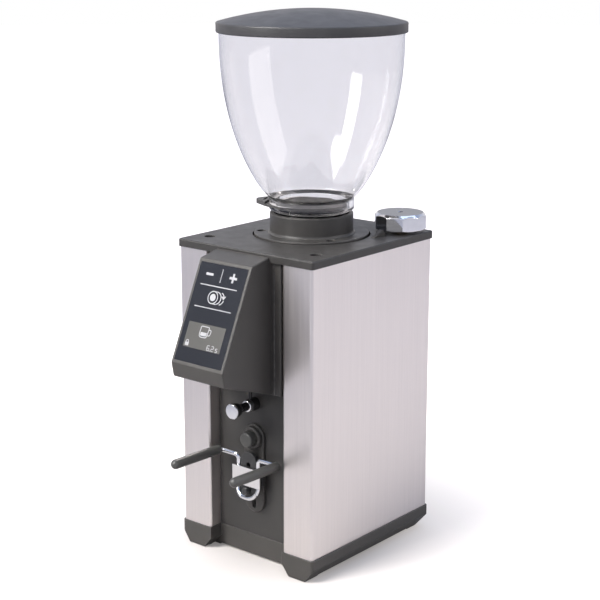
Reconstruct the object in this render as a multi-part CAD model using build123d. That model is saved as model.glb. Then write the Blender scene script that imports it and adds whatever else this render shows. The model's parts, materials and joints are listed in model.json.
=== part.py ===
from build123d import *

import os
from math import acos, cos, hypot, pi, radians, sin, tan

os.makedirs("parts", exist_ok=True)

# On-demand burr coffee grinder. Millimetres, +Z up, front towards -Y.
# The body's footprint is centred on the Z axis while it is built, and everything
# is moved by ORIGIN_Y on export, so that the origin lies under the middle of the whole object.

# ---------------------------------------------------------------- casing
BODY_W = 178.0
BODY_D = 200.0
BASE_TOP = 24.4
PLATE_LOW = 322.0
PLATE_TOP = 330.0
PLATE_SINK_R = 5.9
PLATE_SINK_DEEP = 4.2
CORNER_R = 3.0
SHELL_W = 175.0
SHELL_D = 197.6
SHELL_T = 1.2
COLUMN_IN = 49.5
PANEL_Y = -83.0
PANEL_T = 1.5
REAR_Y = 98.8
POINTER_X = 66.0
POINTER_Y = 26.8
POINTER_T = 4.0
POINTER_H = 6.8
SCREW_PLACES = [(-70.0, -72.0), (70.0, -72.0), (-70.0, 86.0), (34.0, 86.0)]
POST_R = 6.0

# ---------------------------------------------------------------- grinding axis, collar and hopper
AXIS_Y = 7.0
PLATE_HOLE_R = 61.2
FLANGE_R = 59.6
FLANGE_TOP = 332.0
FLANGE_LOW = 324.5
FLANGE_HOLE_R = 4.9
FLANGE_HOLE_DEEP = 5.2
COLLAR_R = 43.3
COLLAR_BORE = 39.3
COLLAR_TOP = 353.0
COLLAR_SEAT = 338.0
SKIRT_R = 56.0
SKIRT_LOW = 308.2
THROAT_R = 34.5
NECK_R = 37.7
NECK_BORE = 35.0
GATE_RING_R = 44.0
GATE_POCKET_R = 37.4
GATE_PLATE_R = 36.6
GATE_LOW = 360.0
GATE_T = 2.4
GATE_ANGLE = 205.0
GATE_TAB_REACH = 59.0
GATE_TAB_FROM = 44.8
GATE_TAB_W = 40.0
GATE_TAB_T = 4.4
GATE_TAB_END_R = 10.5
BOWL_TOP = 541.0
HOPPER_WALL = 2.6
LID_R = 97.0
LID_LOW = 536.6
LID_RIM_TOP = 547.3
LID_TOP = 560.0

# ---------------------------------------------------------------- adjustment gears and knob
GEAR_MODULE = 1.5
RING_TEETH = 101
PINION_TEETH = 24
GEAR_PRESSURE = 20.0
GEAR_BACKLASH = 0.3
RING_GEAR_LOW = 309.0
RING_GEAR_TOP = 317.0
KNOB_ANGLE = 47.9
KNOB_R = 27.5
KNOB_SIDES = 10
KNOB_TURN = -13.0
KNOB_LOW = 333.0
KNOB_TOP = 350.0
KNOB_DISTANCE = GEAR_MODULE * (RING_TEETH + PINION_TEETH) / 2
KNOB_X = KNOB_DISTANCE * cos(radians(KNOB_ANGLE))
KNOB_Y = AXIS_Y + KNOB_DISTANCE * sin(radians(KNOB_ANGLE))
KNOB_SHAFT_R = 5.0

# ---------------------------------------------------------------- burrs, chamber and motor
CHAMBER_R = 48.0
CHAMBER_BORE = 44.0
CHAMBER_LOW = 232.0
CHAMBER_FLOOR = 242.0
CHAMBER_TOP = 303.0
BURR_R = 32.0
BURR_BORE = 19.5
UPPER_BURR_LOW = 270.0
UPPER_BURR_TOP = 280.0
LOWER_BURR_LOW = 259.6
LOWER_BURR_TOP = 269.6
MOUNT_LOW = 226.0
MOTOR_R = 57.0
STATOR_LOW = 105.0
STATOR_TOP = 200.0
STATOR_BORE = 33.2
ROTOR_R = 32.5
SHAFT_R = 8.0
SHAFT_LOW = 66.0
SHAFT_TOP = 262.0
RUNNING_GAP = 0.05

# ---------------------------------------------------------------- dispensing head
HEAD_HALF_W = 34.3
HEAD_WALL = 3.0
HEAD_BACK_Y = -97.0
BACKPLATE_HALF_W = 45.7
BACKPLATE_LOW = 187.0
HEAD_FACE_TOP = (-124.5, 322.0)
HEAD_FACE_LOW = (-168.5, 224.4)
HEAD_LIP_LOW = (-165.7, 209.7)
HEAD_ROOF_Z = 327.0
GLASS_W = 62.4
GLASS_H = 100.0
GLASS_T = 1.0
CHUTE_Y = -130.0
CHUTE_LOW = 203.0

# ---------------------------------------------------------------- start button, plunger and fork
BUTTON_Z = 131.8
BUTTON_R = 7.8
BUTTON_FRONT = -99.4
HOUSING_R = 11.8
HOUSING_FRONT = -90.5
ESCUTCHEON_R = 13.2
ESCUTCHEON_LOW = 50.6
ESCUTCHEON_T = 3.0
ESCUTCHEON_FRONT = PANEL_Y - ESCUTCHEON_T
PLUNGER_Z = 167.5
PLUNGER_FRONT = -119.3
PLUNGER_SHAFT_R = 3.0
FORK_X = 39.7
FORK_Z = 112.4
FORK_TILT = 1.5
SLEEVE_R = 5.0
SLEEVE_ROOT = -95.6
SLEEVE_LENGTH = 63.4
WIRE_R = 2.5
WIRE_Y = -93.7
LOOP_X = 13.2
LOOP_Z = 70.0

# ---------------------------------------------------------------- mains inlet and rocker switch
INLET_X = -30.0
INLET_Z = 54.0
ROCKER_Z = 92.0
ROCKER_PIVOT_Y = 93.0
ROCKER_TILT = 8.0

# The lid's rear edge and the head's front edge bound the object along Y.
ORIGIN_Y = -(HEAD_FACE_LOW[0] + AXIS_Y + LID_R) / 2


# ---------------------------------------------------------------- helpers
def block(x0, x1, y0, y1, z0, z1):
    """Block between two opposite corners."""
    centre = Pos((x0 + x1) / 2, (y0 + y1) / 2, (z0 + z1) / 2)
    return centre * Box(x1 - x0, y1 - y0, z1 - z0)


def rod_z(radius, z0, z1, x=0.0, y=0.0):
    """Upright round bar."""
    return Pos(x, y, (z0 + z1) / 2) * Cylinder(radius, z1 - z0)


def rod_y(radius, y0, y1, x=0.0, z=0.0):
    """Round bar that runs front to back."""
    return Pos(x, (y0 + y1) / 2, z) * Rot(90, 0, 0) * Cylinder(radius, y1 - y0)


def rod_x(radius, x0, x1, y=0.0, z=0.0):
    """Round bar that runs from left to right."""
    return Pos((x0 + x1) / 2, y, z) * Rot(0, 90, 0) * Cylinder(radius, x1 - x0)


def tube_z(outer, bore, z0, z1, x=0.0, y=0.0):
    """Upright tube."""
    return rod_z(outer, z0, z1, x, y) - rod_z(bore, z0 - 1, z1 + 1, x, y)


def turned(points, y=AXIS_Y):
    """Solid turned from (radius, z) points about the upright line through (0, y)."""
    face = make_face(Polyline(*points, close=True))
    return Pos(0, y, 0) * revolve(Plane.XZ * face, Axis.Z)


def prism_x(points, half_width):
    """Prism with a (y, z) outline, reaching the same way left and right."""
    face = make_face(Polyline(*points, close=True))
    return extrude(Plane.YZ * face, amount=half_width, both=True)


def prism_y(points, y0, y1):
    """Prism with an (x, z) outline, from y0 to y1."""
    face = make_face(Polyline(*points, close=True))
    return Pos(0, y1, 0) * extrude(Plane.XZ * face, amount=y1 - y0)


def prism_z(points, z0, z1):
    """Upright prism with an (x, y) outline."""
    face = make_face(Polyline(*points, close=True))
    return Pos(0, 0, z0) * extrude(face, amount=z1 - z0)


def obround_y(radius, z0, z1, y0, y1):
    """Front-to-back plate with round upper and lower ends of the given radius."""
    middle = block(-radius, radius, y0, y1, z0 + radius, z1 - radius)
    ends = rod_y(radius, y0, y1, 0, z0 + radius) + rod_y(radius, y0, y1, 0, z1 - radius)
    return middle + ends


def edges_along(shape, axis, where=lambda edge: True):
    """Straight edges parallel to an axis that a test accepts."""
    return [edge for edge in shape.edges().filter_by(axis) if where(edge.center())]


def save(name, *solids):
    """Write one node, moved so that the object's origin is under its middle."""
    placed = [Pos(0, ORIGIN_Y, 0) * solid for solid in solids]
    shape = placed[0] if len(placed) == 1 else Compound(children=placed)
    export_step(shape, "parts/" + name + ".step")


# ---------------------------------------------------------------- casing parts
LEG_X = 48.5
LEG_BACK_Y = -83.5
BAND_LOW = 14.0
CHAMFER_IN = 10.0
PAD_LOW = 0.5
BELLY_LOW = 2.2
FOOT_R = 6.0
FOOT_T = 4.0
FEET_PLACES = [(-64.0, -90.0), (64.0, -90.0), (-64.0, 82.0), (64.0, 82.0)]


def base_tray():
    """Cast tray with two front legs, a sloping skirt and an open top."""
    half_w = BODY_W / 2
    half_d = BODY_D / 2
    tray = block(-half_w, half_w, -half_d, half_d, PAD_LOW, BASE_TOP)
    tray = fillet(edges_along(tray, Axis.Z), CORNER_R)
    for side in (-1, 1):
        skirt = [(side * (half_w + 1), BAND_LOW), (side * half_w, BAND_LOW),
                 (side * (half_w - CHAMFER_IN), 0), (side * (half_w - CHAMFER_IN), -1),
                 (side * (half_w + 1), -1)]
        tray -= prism_y(skirt, -half_d - 1, half_d + 1)
        inner = [(side * (LEG_X - 1), 11), (side * (LEG_X + 1.2), 11), (side * (LEG_X + 10), 0),
                 (side * (LEG_X + 10), -1), (side * (LEG_X - 1), -1)]
        tray -= prism_y(inner, -half_d - 1, LEG_BACK_Y)
    rear = [(half_d + 1, BAND_LOW), (half_d, BAND_LOW), (half_d - CHAMFER_IN, 0),
            (half_d - CHAMFER_IN, -1), (half_d + 1, -1)]
    tray -= prism_x(rear, half_w + 1)
    tray -= block(-LEG_X, LEG_X, -half_d - 1, LEG_BACK_Y, -1, BASE_TOP + 1)
    tray -= block(-half_w, half_w, -80, 75, -1, BELLY_LOW)
    tray -= block(-LEG_X - 2, LEG_X + 2, -84, half_d + 1, -1, BELLY_LOW)
    tray -= block(-81, 81, -79, 92, 6, BASE_TOP + 1)
    for side in (-1, 1):
        tray -= block(min(side * 54, side * 81), max(side * 54, side * 81), -95, -78, 6, BASE_TOP + 1)
    for x, y in FEET_PLACES:
        tray -= rod_z(FOOT_R, -1, FOOT_T, x, y)
    lip = [edge for edge in tray.edges().filter_by(GeomType.LINE)
           if abs(edge.center().Z - BASE_TOP) < 0.01 and on_outline(edge.center())]
    return fillet(lip, 0.6)


def on_outline(point):
    """True on the tray's outer outline, seen from above."""
    on_side = abs(abs(point.X) - BODY_W / 2) < 0.01
    on_end = abs(abs(point.Y) - BODY_D / 2) < 0.01
    return on_side or on_end


def rubber_feet():
    """Four round feet pressed into the corner pads."""
    return [rod_z(FOOT_R, 0, FOOT_T, x, y) for x, y in FEET_PLACES]


def offset_path(points, distance):
    """Path parallel to straight runs, offset to the right of the heading, with mitred corners."""
    normals = []
    for (xa, ya), (xb, yb) in zip(points, points[1:]):
        length = hypot(xb - xa, yb - ya)
        normals.append(((yb - ya) / length, (xa - xb) / length))
    result = []
    for index, (x, y) in enumerate(points):
        before = normals[max(index - 1, 0)]
        after = normals[min(index, len(normals) - 1)]
        scale = distance / (1 + before[0] * after[0] + before[1] * after[1])
        result.append((x + (before[0] + after[0]) * scale, y + (before[1] + after[1]) * scale))
    return result


def bent_sheet(points, bend, z0, z1):
    """Upright sheet metal bent along straight runs, with its thickness to the right of the path."""
    inner = offset_path(points, SHELL_T)
    outline = FilletPolyline(*points, radius=bend)
    outline += Line(points[-1], inner[-1])
    outline += FilletPolyline(*inner, radius=bend - SHELL_T)
    outline += Line(inner[0], points[0])
    return Pos(0, 0, z0) * extrude(make_face(outline), amount=z1 - z0)


COVER_SCREWS = [(side * 77.0, z) for side in (-1, 1) for z in (50.0, 175.0, 300.0)]
COVER_SCREW_R = 2.0


def side_shell():
    """Right casing sheet: rear flange, flank, front strip and a return into the front recess."""
    x = SHELL_W / 2
    y = SHELL_D / 2
    path = [(72.0, y), (x, y), (x, -y), (COLUMN_IN, -y), (COLUMN_IN, PANEL_Y)]
    shell = bent_sheet(path, 3.0, BASE_TOP, PLATE_LOW)
    for screw_x, z in COVER_SCREWS:
        shell -= rod_y(COVER_SCREW_R, 95, 100, screw_x, z)
    return shell


VENT_ROWS = 10
VENT_PITCH = 12.0
VENT_LOW = 178.0
VENT_W = 42.0
VENT_H = 4.0


def rear_cover():
    """Flat rear cover with lips behind the casing flanges, vents, and holes for the inlet and switch."""
    cover = block(-71.6, 71.6, 97.4, REAR_Y, BASE_TOP + 0.3, PLATE_LOW - 0.3)
    cover += block(-81.5, 81.5, 96.2, 97.6, BASE_TOP + 0.3, PLATE_LOW - 0.3)
    for row in range(VENT_ROWS):
        z = VENT_LOW + row * VENT_PITCH
        for side in (-1, 1):
            slot = block(-VENT_W / 2, VENT_W / 2, 90, 105, z - VENT_H / 2, z + VENT_H / 2)
            slot += rod_y(VENT_H / 2, 90, 105, -VENT_W / 2, z)
            slot += rod_y(VENT_H / 2, 90, 105, VENT_W / 2, z)
            cover -= Pos(side * 33, 0, 0) * slot
    cover -= block(INLET_X - 13.6, INLET_X + 13.6, 90, 105, INLET_Z - 10.1, INLET_Z + 10.1)
    cover -= block(INLET_X - 10.6, INLET_X + 10.6, 90, 105, ROCKER_Z - 15.1, ROCKER_Z + 15.1)
    for x, z in COVER_SCREWS:
        cover -= rod_y(COVER_SCREW_R, 90, 105, x, z)
    return cover


def rear_cover_screws():
    """Round-headed screws through the casing flanges into the cover's lips."""
    screws = []
    for x, z in COVER_SCREWS:
        head = rod_y(3.8, REAR_Y, REAR_Y + 2, x, z)
        head = fillet(head.edges().group_by(Axis.Y)[-1], 1.2)
        screws.append(head + rod_y(COVER_SCREW_R, 93, REAR_Y, x, z))
    return screws


def front_panel():
    """Recessed sheet between the front strips, pierced for the chute, plunger, button and fork."""
    panel = block(-COLUMN_IN + 0.2, COLUMN_IN - 0.2, PANEL_Y, PANEL_Y + PANEL_T,
                  BASE_TOP, PLATE_LOW - 0.2)
    panel -= block(-16, 16, -90, -75, 240, 266)
    panel -= rod_y(PLUNGER_SHAFT_R + 1, -90, -75, 0, PLUNGER_Z)
    panel -= rod_y(3.2, -90, -75, 0, BUTTON_Z)
    panel -= obround_y(2.3, 57, 109, -90, -75)
    return panel


def top_plate():
    """Thick cover plate with the collar opening, the knob bushing hole and sunk screw holes."""
    half_w = BODY_W / 2
    half_d = BODY_D / 2
    plate = block(-half_w, half_w, -half_d, half_d, PLATE_LOW, PLATE_TOP)
    plate = fillet(edges_along(plate, Axis.Z), CORNER_R)
    plate = chamfer(plate.faces().sort_by(Axis.Z)[-1].edges(), 0.9)
    plate -= rod_z(PLATE_HOLE_R, PLATE_LOW - 1, PLATE_TOP + 1, 0, AXIS_Y)
    plate -= rod_z(9.0, PLATE_LOW - 1, PLATE_TOP + 1, KNOB_X, KNOB_Y)
    for x, y in SCREW_PLACES:
        plate -= rod_z(2.5, PLATE_LOW - 1, PLATE_TOP, x, y)
        plate -= rod_z(PLATE_SINK_R, PLATE_TOP - PLATE_SINK_DEEP, PLATE_TOP + 1, x, y)
    return plate


def top_plate_screws():
    """Cap screws with hexagon sockets, sunk in the plate, that hold it on the posts."""
    seat = PLATE_TOP - PLATE_SINK_DEEP
    screws = []
    for x, y in SCREW_PLACES:
        screw = rod_z(2.5, 306, seat, x, y) + rod_z(PLATE_SINK_R - 1.2, seat, seat + 2.2, x, y)
        socket = Pos(x, y, seat + 0.7) * extrude(RegularPolygon(2.2, 6), amount=2)
        screws.append(screw - socket)
    return screws


def index_pointer():
    """Raised wedge whose peak marks the knob's position."""
    outline = [(POINTER_Y, PLATE_TOP), (POINTER_Y + 15.0, PLATE_TOP + POINTER_H),
               (POINTER_Y + 20.4, PLATE_TOP)]
    return Pos(POINTER_X - POINTER_T / 2, 0, 0) * prism_x(outline, POINTER_T / 2)


def frame_posts():
    """Four posts from the tray to the plate, tapped for the plate screws."""
    posts = []
    for x, y in SCREW_PLACES:
        posts.append(rod_z(POST_R, 6, PLATE_LOW, x, y) - rod_z(2.5, 305, PLATE_LOW + 1, x, y))
    return posts


# ---------------------------------------------------------------- adjustment gears
def involute_gear(teeth, thickness):
    """Spur gear blank with involute flanks, a tooth centred on +X, from z=0 up."""
    pitch = GEAR_MODULE * teeth / 2
    base = pitch * cos(radians(GEAR_PRESSURE))
    tip = pitch + 0.9 * GEAR_MODULE
    root = pitch - 1.2 * GEAR_MODULE
    start = max(base, root + 0.2)
    steps = 3

    def roll(radius):
        """Involute polar angle at a radius."""
        pressure = acos(min(1.0, base / radius))
        return tan(pressure) - pressure

    half = (pi * GEAR_MODULE / 2 - GEAR_BACKLASH) / (2 * pitch)
    flank = []
    for step in range(steps + 1):
        radius = start + (tip - start) * step / steps
        flank.append((radius, half + roll(pitch) - roll(radius)))
    flank = [(root, flank[0][1])] + flank
    points = []
    for tooth in range(teeth):
        centre = 2 * pi * tooth / teeth
        points += [(r * cos(centre - a), r * sin(centre - a)) for r, a in flank]
        points += [(r * cos(centre + a), r * sin(centre + a)) for r, a in reversed(flank)]
    return extrude(make_face(Polyline(*points, close=True)), amount=thickness)


def ring_gear():
    """Gear on the collar's skirt, with a tooth on the line to the knob."""
    gear = involute_gear(RING_TEETH, RING_GEAR_TOP - RING_GEAR_LOW)
    gear -= rod_z(SKIRT_R, -1, 20)
    return Pos(0, AXIS_Y, RING_GEAR_LOW) * Rot(0, 0, KNOB_ANGLE) * gear


def pinion():
    """Gear on the knob's shaft, with a gap on the line to the collar."""
    gear = involute_gear(PINION_TEETH, RING_GEAR_TOP - RING_GEAR_LOW + 1)
    gear -= rod_z(KNOB_SHAFT_R, -1, 20)
    turn = KNOB_ANGLE + 180 + 180 / PINION_TEETH
    return Pos(KNOB_X, KNOB_Y, RING_GEAR_LOW - 0.5) * Rot(0, 0, turn) * gear


def adjust_knob():
    """Ten-sided knob with a turned bevel, a blind shaft bore and a screw socket."""
    prism = extrude(RegularPolygon(KNOB_R, KNOB_SIDES), amount=KNOB_TOP - KNOB_LOW)
    prism = Pos(0, 0, KNOB_LOW) * Rot(0, 0, KNOB_TURN) * prism
    cone = turned([(0, KNOB_LOW), (KNOB_R - 1.6, KNOB_LOW), (KNOB_R + 1, KNOB_LOW + 1.5),
                   (KNOB_R + 1, KNOB_TOP - 4.0), (KNOB_R - 3.4, KNOB_TOP), (0, KNOB_TOP)], 0)
    knob = prism & cone
    knob -= rod_z(KNOB_SHAFT_R, KNOB_LOW - 1, 343)
    knob -= Pos(0, 0, KNOB_TOP - 4) * extrude(RegularPolygon(2.9, 6), amount=5)
    return Pos(KNOB_X, KNOB_Y, 0) * knob


def knob_shaft():
    """Shaft from the pinion up into the knob."""
    return rod_z(KNOB_SHAFT_R, RING_GEAR_LOW - 3, 343, KNOB_X, KNOB_Y)


def knob_bushing():
    """Bushing pressed into the plate, in which the knob's shaft turns."""
    return tube_z(9.0, KNOB_SHAFT_R + RUNNING_GAP, 318, PLATE_TOP + 1.4, KNOB_X, KNOB_Y)


# ---------------------------------------------------------------- collar and burrs
FLANGE_SCREW_R = 52.0
FLANGE_SCREW_ANGLES = (215.0, 331.0, 93.0)


def flange_screw_places():
    """Plan positions of the flange screws."""
    places = []
    for angle in FLANGE_SCREW_ANGLES:
        turn = radians(angle)
        places.append((FLANGE_SCREW_R * cos(turn), AXIS_Y + FLANGE_SCREW_R * sin(turn)))
    return places


def adjust_collar():
    """Flange and skirt in one turned piece."""
    collar = turned([(FLANGE_R - 0.6, FLANGE_TOP), (FLANGE_R, FLANGE_TOP - 0.6),
                     (FLANGE_R, FLANGE_LOW), (SKIRT_R, FLANGE_LOW), (SKIRT_R, SKIRT_LOW),
                     (THROAT_R, SKIRT_LOW), (THROAT_R, FLANGE_TOP)])
    for x, y in flange_screw_places():
        collar -= rod_z(2.2, 314, FLANGE_TOP + 1, x, y)
        collar -= rod_z(FLANGE_HOLE_R, FLANGE_TOP - FLANGE_HOLE_DEEP, FLANGE_TOP + 1, x, y)
    return collar


def collar_neck():
    """Ring on the flange that the hopper's neck plugs into, with a seat and a hollowed foot."""
    return turned([(COLLAR_R - 0.8, COLLAR_TOP), (COLLAR_R, COLLAR_TOP - 0.8),
                   (COLLAR_R, FLANGE_TOP + 2.2), (COLLAR_R + 0.6, FLANGE_TOP + 0.7),
                   (COLLAR_R + 2.2, FLANGE_TOP), (THROAT_R, FLANGE_TOP), (THROAT_R, COLLAR_SEAT),
                   (COLLAR_BORE, COLLAR_SEAT), (COLLAR_BORE, COLLAR_TOP)])


def flange_screws():
    """Socket screws sunk in the flange."""
    screws = []
    for x, y in flange_screw_places():
        seat = FLANGE_TOP - FLANGE_HOLE_DEEP
        screw = rod_z(2.2, 314, seat, x, y) + rod_z(FLANGE_HOLE_R - 0.4, seat, seat + 2.6, x, y)
        socket = Pos(x, y, seat + 1.0) * extrude(RegularPolygon(2.2, 6), amount=3)
        screws.append(screw - socket)
    return screws


def upper_burr_carrier():
    """Funnel and burr seat that turns in the chamber's bore."""
    skirt = CHAMBER_BORE - RUNNING_GAP
    return turned([(THROAT_R, SKIRT_LOW), (52.0, SKIRT_LOW), (52.0, CHAMBER_TOP + 0.6),
                   (skirt, CHAMBER_TOP + 0.6), (skirt, 272), (BURR_R, 272),
                   (BURR_R, UPPER_BURR_TOP), (21.0, UPPER_BURR_TOP), (21.0, 290)])


BURR_GROOVES = 12


def burr(face_z, back_z):
    """Flat burr ring with a coned inner step and slanting grooves cut in its face."""
    step = (back_z - face_z) * 0.45
    ring = turned([(BURR_BORE, back_z), (BURR_R, back_z), (BURR_R, face_z),
                   (25.0, face_z), (BURR_BORE, face_z + step)])
    low = min(face_z - 1, face_z + step / 3)
    high = max(face_z - 1, face_z + step / 3)
    for index in range(BURR_GROOVES):
        groove = Pos(0, 5, 0) * block(15, 40, -0.8, 0.8, low, high)
        ring -= Pos(0, AXIS_Y, 0) * Rot(0, 0, index * 360 / BURR_GROOVES) * groove
    return ring


def lower_burr_carrier():
    """Driven disc with a hub and two sweeper arms."""
    disc = rod_z(34, 248, LOWER_BURR_LOW, 0, AXIS_Y) + rod_z(15, 243, 248, 0, AXIS_Y)
    disc += block(-42, 42, AXIS_Y - 3, AXIS_Y + 3, 246, 252)
    return disc - rod_z(SHAFT_R, 240, 265, 0, AXIS_Y)


def grinding_chamber():
    """Cast cup with the outlet window and its flat front boss."""
    cup = rod_z(CHAMBER_R, CHAMBER_LOW, CHAMBER_TOP, 0, AXIS_Y)
    cup += block(-17, 17, -44, -36, 238, 268)
    cup -= rod_z(CHAMBER_BORE, CHAMBER_FLOOR, CHAMBER_TOP + 1, 0, AXIS_Y)
    cup -= rod_z(SHAFT_R + 0.5, CHAMBER_LOW - 1, CHAMBER_FLOOR + 1, 0, AXIS_Y)
    return cup - block(-13, 13, -50, -20, CHAMBER_FLOOR + 2, 262)


# ---------------------------------------------------------------- motor
def motor_mount_plate():
    """Steel plate on the posts that carries the motor below and the chamber above."""
    plate = block(-82, 82, -79, 95, MOUNT_LOW, CHAMBER_LOW)
    plate -= rod_z(21, MOUNT_LOW - 1, CHAMBER_LOW + 1, 0, AXIS_Y)
    for x, y in SCREW_PLACES:
        plate -= rod_z(POST_R, MOUNT_LOW - 1, CHAMBER_LOW + 1, x, y)
    return plate


def end_bell(open_z, closed_z):
    """Motor end cover: a cup that opens towards the stator, with a bearing seat."""
    wall = 4.0 if open_z < closed_z else -4.0
    low = min(open_z, closed_z)
    high = max(open_z, closed_z)
    bell = rod_z(MOTOR_R, low, high, 0, AXIS_Y)
    inner = closed_z - wall
    bell -= rod_z(MOTOR_R - 5, min(open_z, inner), max(open_z, inner), 0, AXIS_Y)
    seat = closed_z - 4 * wall
    bell += tube_z(23, 17.5, min(seat, inner), max(seat, inner), 0, AXIS_Y)
    return bell - rod_z(17.5, low - 1, high + 1, 0, AXIS_Y)


def shaft_bearings():
    """Two bearing rings, seated in the end covers."""
    bore = SHAFT_R + 0.03
    return [tube_z(17.5, bore, 208, 220, 0, AXIS_Y), tube_z(17.5, bore, 74, 86, 0, AXIS_Y)]


def cooling_fan():
    """Hub with eight radial blades."""
    fan = rod_z(14, 88, 95, 0, AXIS_Y)
    for index in range(8):
        blade = Rot(0, 0, index * 45) * block(12, 30, -1, 1, 88, 95)
        fan += Pos(0, AXIS_Y, 0) * blade
    return fan - rod_z(SHAFT_R, 80, 100, 0, AXIS_Y)


def run_capacitor():
    """Round capacitor standing in its clip behind the motor."""
    body = fillet(rod_z(17, 118, 190, 64, 60).edges(), 2)
    return body + rod_z(4, 190, 196, 58, 60) + rod_z(4, 190, 196, 70, 60)


def power_board():
    """Upright board beside the motor with its tall parts facing inwards."""
    board = block(79, 80.6, -45, 30, 60, 160)
    board += block(68, 79, -30, -5, 75, 100)
    board += block(70, 79, -35, -12, 115, 145)
    return board + block(71, 79, 5, 25, 120, 150)


# ---------------------------------------------------------------- dispensing head
def face_plane():
    """Plane on the middle of the head's sloping face, x to the right and y up the slope."""
    (top_y, top_z), (low_y, low_z) = HEAD_FACE_TOP, HEAD_FACE_LOW
    length = hypot(top_y - low_y, top_z - low_z)
    normal = (0, -(top_z - low_z) / length, (top_y - low_y) / length)
    middle = (0, (top_y + low_y) / 2, (top_z + low_z) / 2)
    return Plane(origin=middle, x_dir=(1, 0, 0), z_dir=normal)


def on_face(x0, x1, up0, up1, depth0, depth1):
    """Block on the sloping face: across, up the slope, and depth into the head."""
    return face_plane().location * block(x0, x1, up0, up1, -depth1, -depth0)


def head_profile():
    """Side outline of the head in (y, z), from the foot of its back edge."""
    front_edge = -BODY_D / 2 - 0.2
    return [(HEAD_BACK_Y, BACKPLATE_LOW), HEAD_LIP_LOW, HEAD_FACE_LOW, HEAD_FACE_TOP,
            (front_edge, HEAD_ROOF_Z), (front_edge, PLATE_LOW - 0.2), (HEAD_BACK_Y, PLATE_LOW - 0.2)]


def head_housing():
    """Hollow wedge, open at the back and under the spout, with a stepped seat for the glass."""
    shell = prism_x(head_profile(), HEAD_HALF_W)
    shell = fillet(edges_along(shell, Axis.X, lambda c: c.Y < -160), 2.5)
    shell = fillet(edges_along(shell, Axis.X, lambda c: c.Y < -120), 1.5)
    outline = [edge for edge in shell.edges()
               if abs(abs(edge.center().X) - HEAD_HALF_W) < 0.01 and edge.center().Y < HEAD_BACK_Y - 2
               and abs(edge.center().Y + BODY_D / 2 + 0.2) > 0.01]
    shell = fillet(outline, 1.4)
    room = offset(make_face(Polyline(*head_profile(), close=True)), amount=-HEAD_WALL, kind=Kind.INTERSECTION)
    shell -= extrude(Plane.YZ * room, amount=HEAD_HALF_W - HEAD_WALL, both=True)
    inner = HEAD_HALF_W - HEAD_WALL
    shell -= block(-inner, inner, -106, -90, 194, PLATE_LOW - 4)
    shell -= on_face(-GLASS_W / 2 - 0.1, GLASS_W / 2 + 0.1, -GLASS_H / 2 - 0.1, GLASS_H / 2 + 0.1,
                     -2, GLASS_T)
    shell -= on_face(-26, 26, -44, 44, -2, 8)
    return shell - block(-13.5, 13.5, CHUTE_Y - 11.5, CHUTE_Y + 11.5, 185, 215)


def head_backplate():
    """Shallow box behind the head, with a raised middle and an open back."""
    w = BACKPLATE_HALF_W
    top = PLATE_LOW - 0.2
    plate = block(-w, w, HEAD_BACK_Y + 0.8, PANEL_Y, BACKPLATE_LOW, top)
    plate = fillet(edges_along(plate, Axis.Z, lambda c: c.Y < -90), 1.5)
    plate += block(-37.9, 37.9, HEAD_BACK_Y, -90, BACKPLATE_LOW, top)
    plate -= block(-w + 3, w - 3, -93.5, PANEL_Y + 1, BACKPLATE_LOW + 3, top - 3)
    return plate - block(-16, 16, -100, -80, 240, 266)


def touch_glass():
    """Glass control panel seated in the sloping face."""
    glass = on_face(-GLASS_W / 2, GLASS_W / 2, -GLASS_H / 2, GLASS_H / 2, 0, GLASS_T)
    return glass


def display_module():
    """Small display in its metal frame, behind the lower part of the glass."""
    return on_face(-21, 21, -41, -7, GLASS_T, 5)


def control_board():
    """Board behind the upper part of the glass with touch pads in front."""
    board = on_face(-25, 25, -4, 43, 4, 5.6)
    return board + on_face(-22, 22, 0, 40, GLASS_T, 4) + on_face(-12, 12, 8, 30, 5.6, 11)


def spout_chute():
    """Duct from the chamber's outlet to the downward spout under the head."""
    y0 = CHUTE_Y - 11
    y1 = CHUTE_Y + 11
    duct = block(-15, 15, y0, -44, 242, 264) + block(-13, 13, y0, y1, CHUTE_LOW, 244)
    duct -= block(-13, 13, y0 + 2, -43, 244, 262)
    return duct - block(-11, 11, y0 + 2, y1 - 2, CHUTE_LOW - 1, 250)


# ---------------------------------------------------------------- start button and plunger
def escutcheon():
    """Raised obround guide plate with the fork's slot and the button's bore."""
    plate = obround_y(ESCUTCHEON_R, ESCUTCHEON_LOW, BUTTON_Z + ESCUTCHEON_R + 1, ESCUTCHEON_FRONT, PANEL_Y)
    plate = chamfer(plate.faces().sort_by(Axis.Y)[0].edges(), 0.8)
    plate -= obround_y(2.6, 55, 111, -90, -80)
    return plate - rod_y(BUTTON_R + 0.3, -90, -80, 0, BUTTON_Z)


def button_housing():
    """Domed ring round the start button."""
    ring = rod_y(HOUSING_R, HOUSING_FRONT, ESCUTCHEON_FRONT, 0, BUTTON_Z)
    ring = fillet(ring.edges().group_by(Axis.Y)[0], 3.4)
    return ring - rod_y(BUTTON_R + 0.3, -95, -80, 0, BUTTON_Z)


def start_button():
    """Round push button with its stem."""
    cap = rod_y(BUTTON_R, BUTTON_FRONT, -88, 0, BUTTON_Z)
    cap = fillet(cap.edges().group_by(Axis.Y)[0], 2.2)
    return cap + rod_y(2.2, -88, -80.2, 0, BUTTON_Z)


def start_switch():
    """Snap switch behind the panel with its mounting feet."""
    body = block(-10, 10, -76.8, -66, BUTTON_Z - 6, BUTTON_Z + 6)
    body += block(-14, 14, -81.5, -78.5, BUTTON_Z - 9, BUTTON_Z - 6)
    return body + block(-14, 14, -79, -70, BUTTON_Z - 9, BUTTON_Z - 6)


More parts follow.
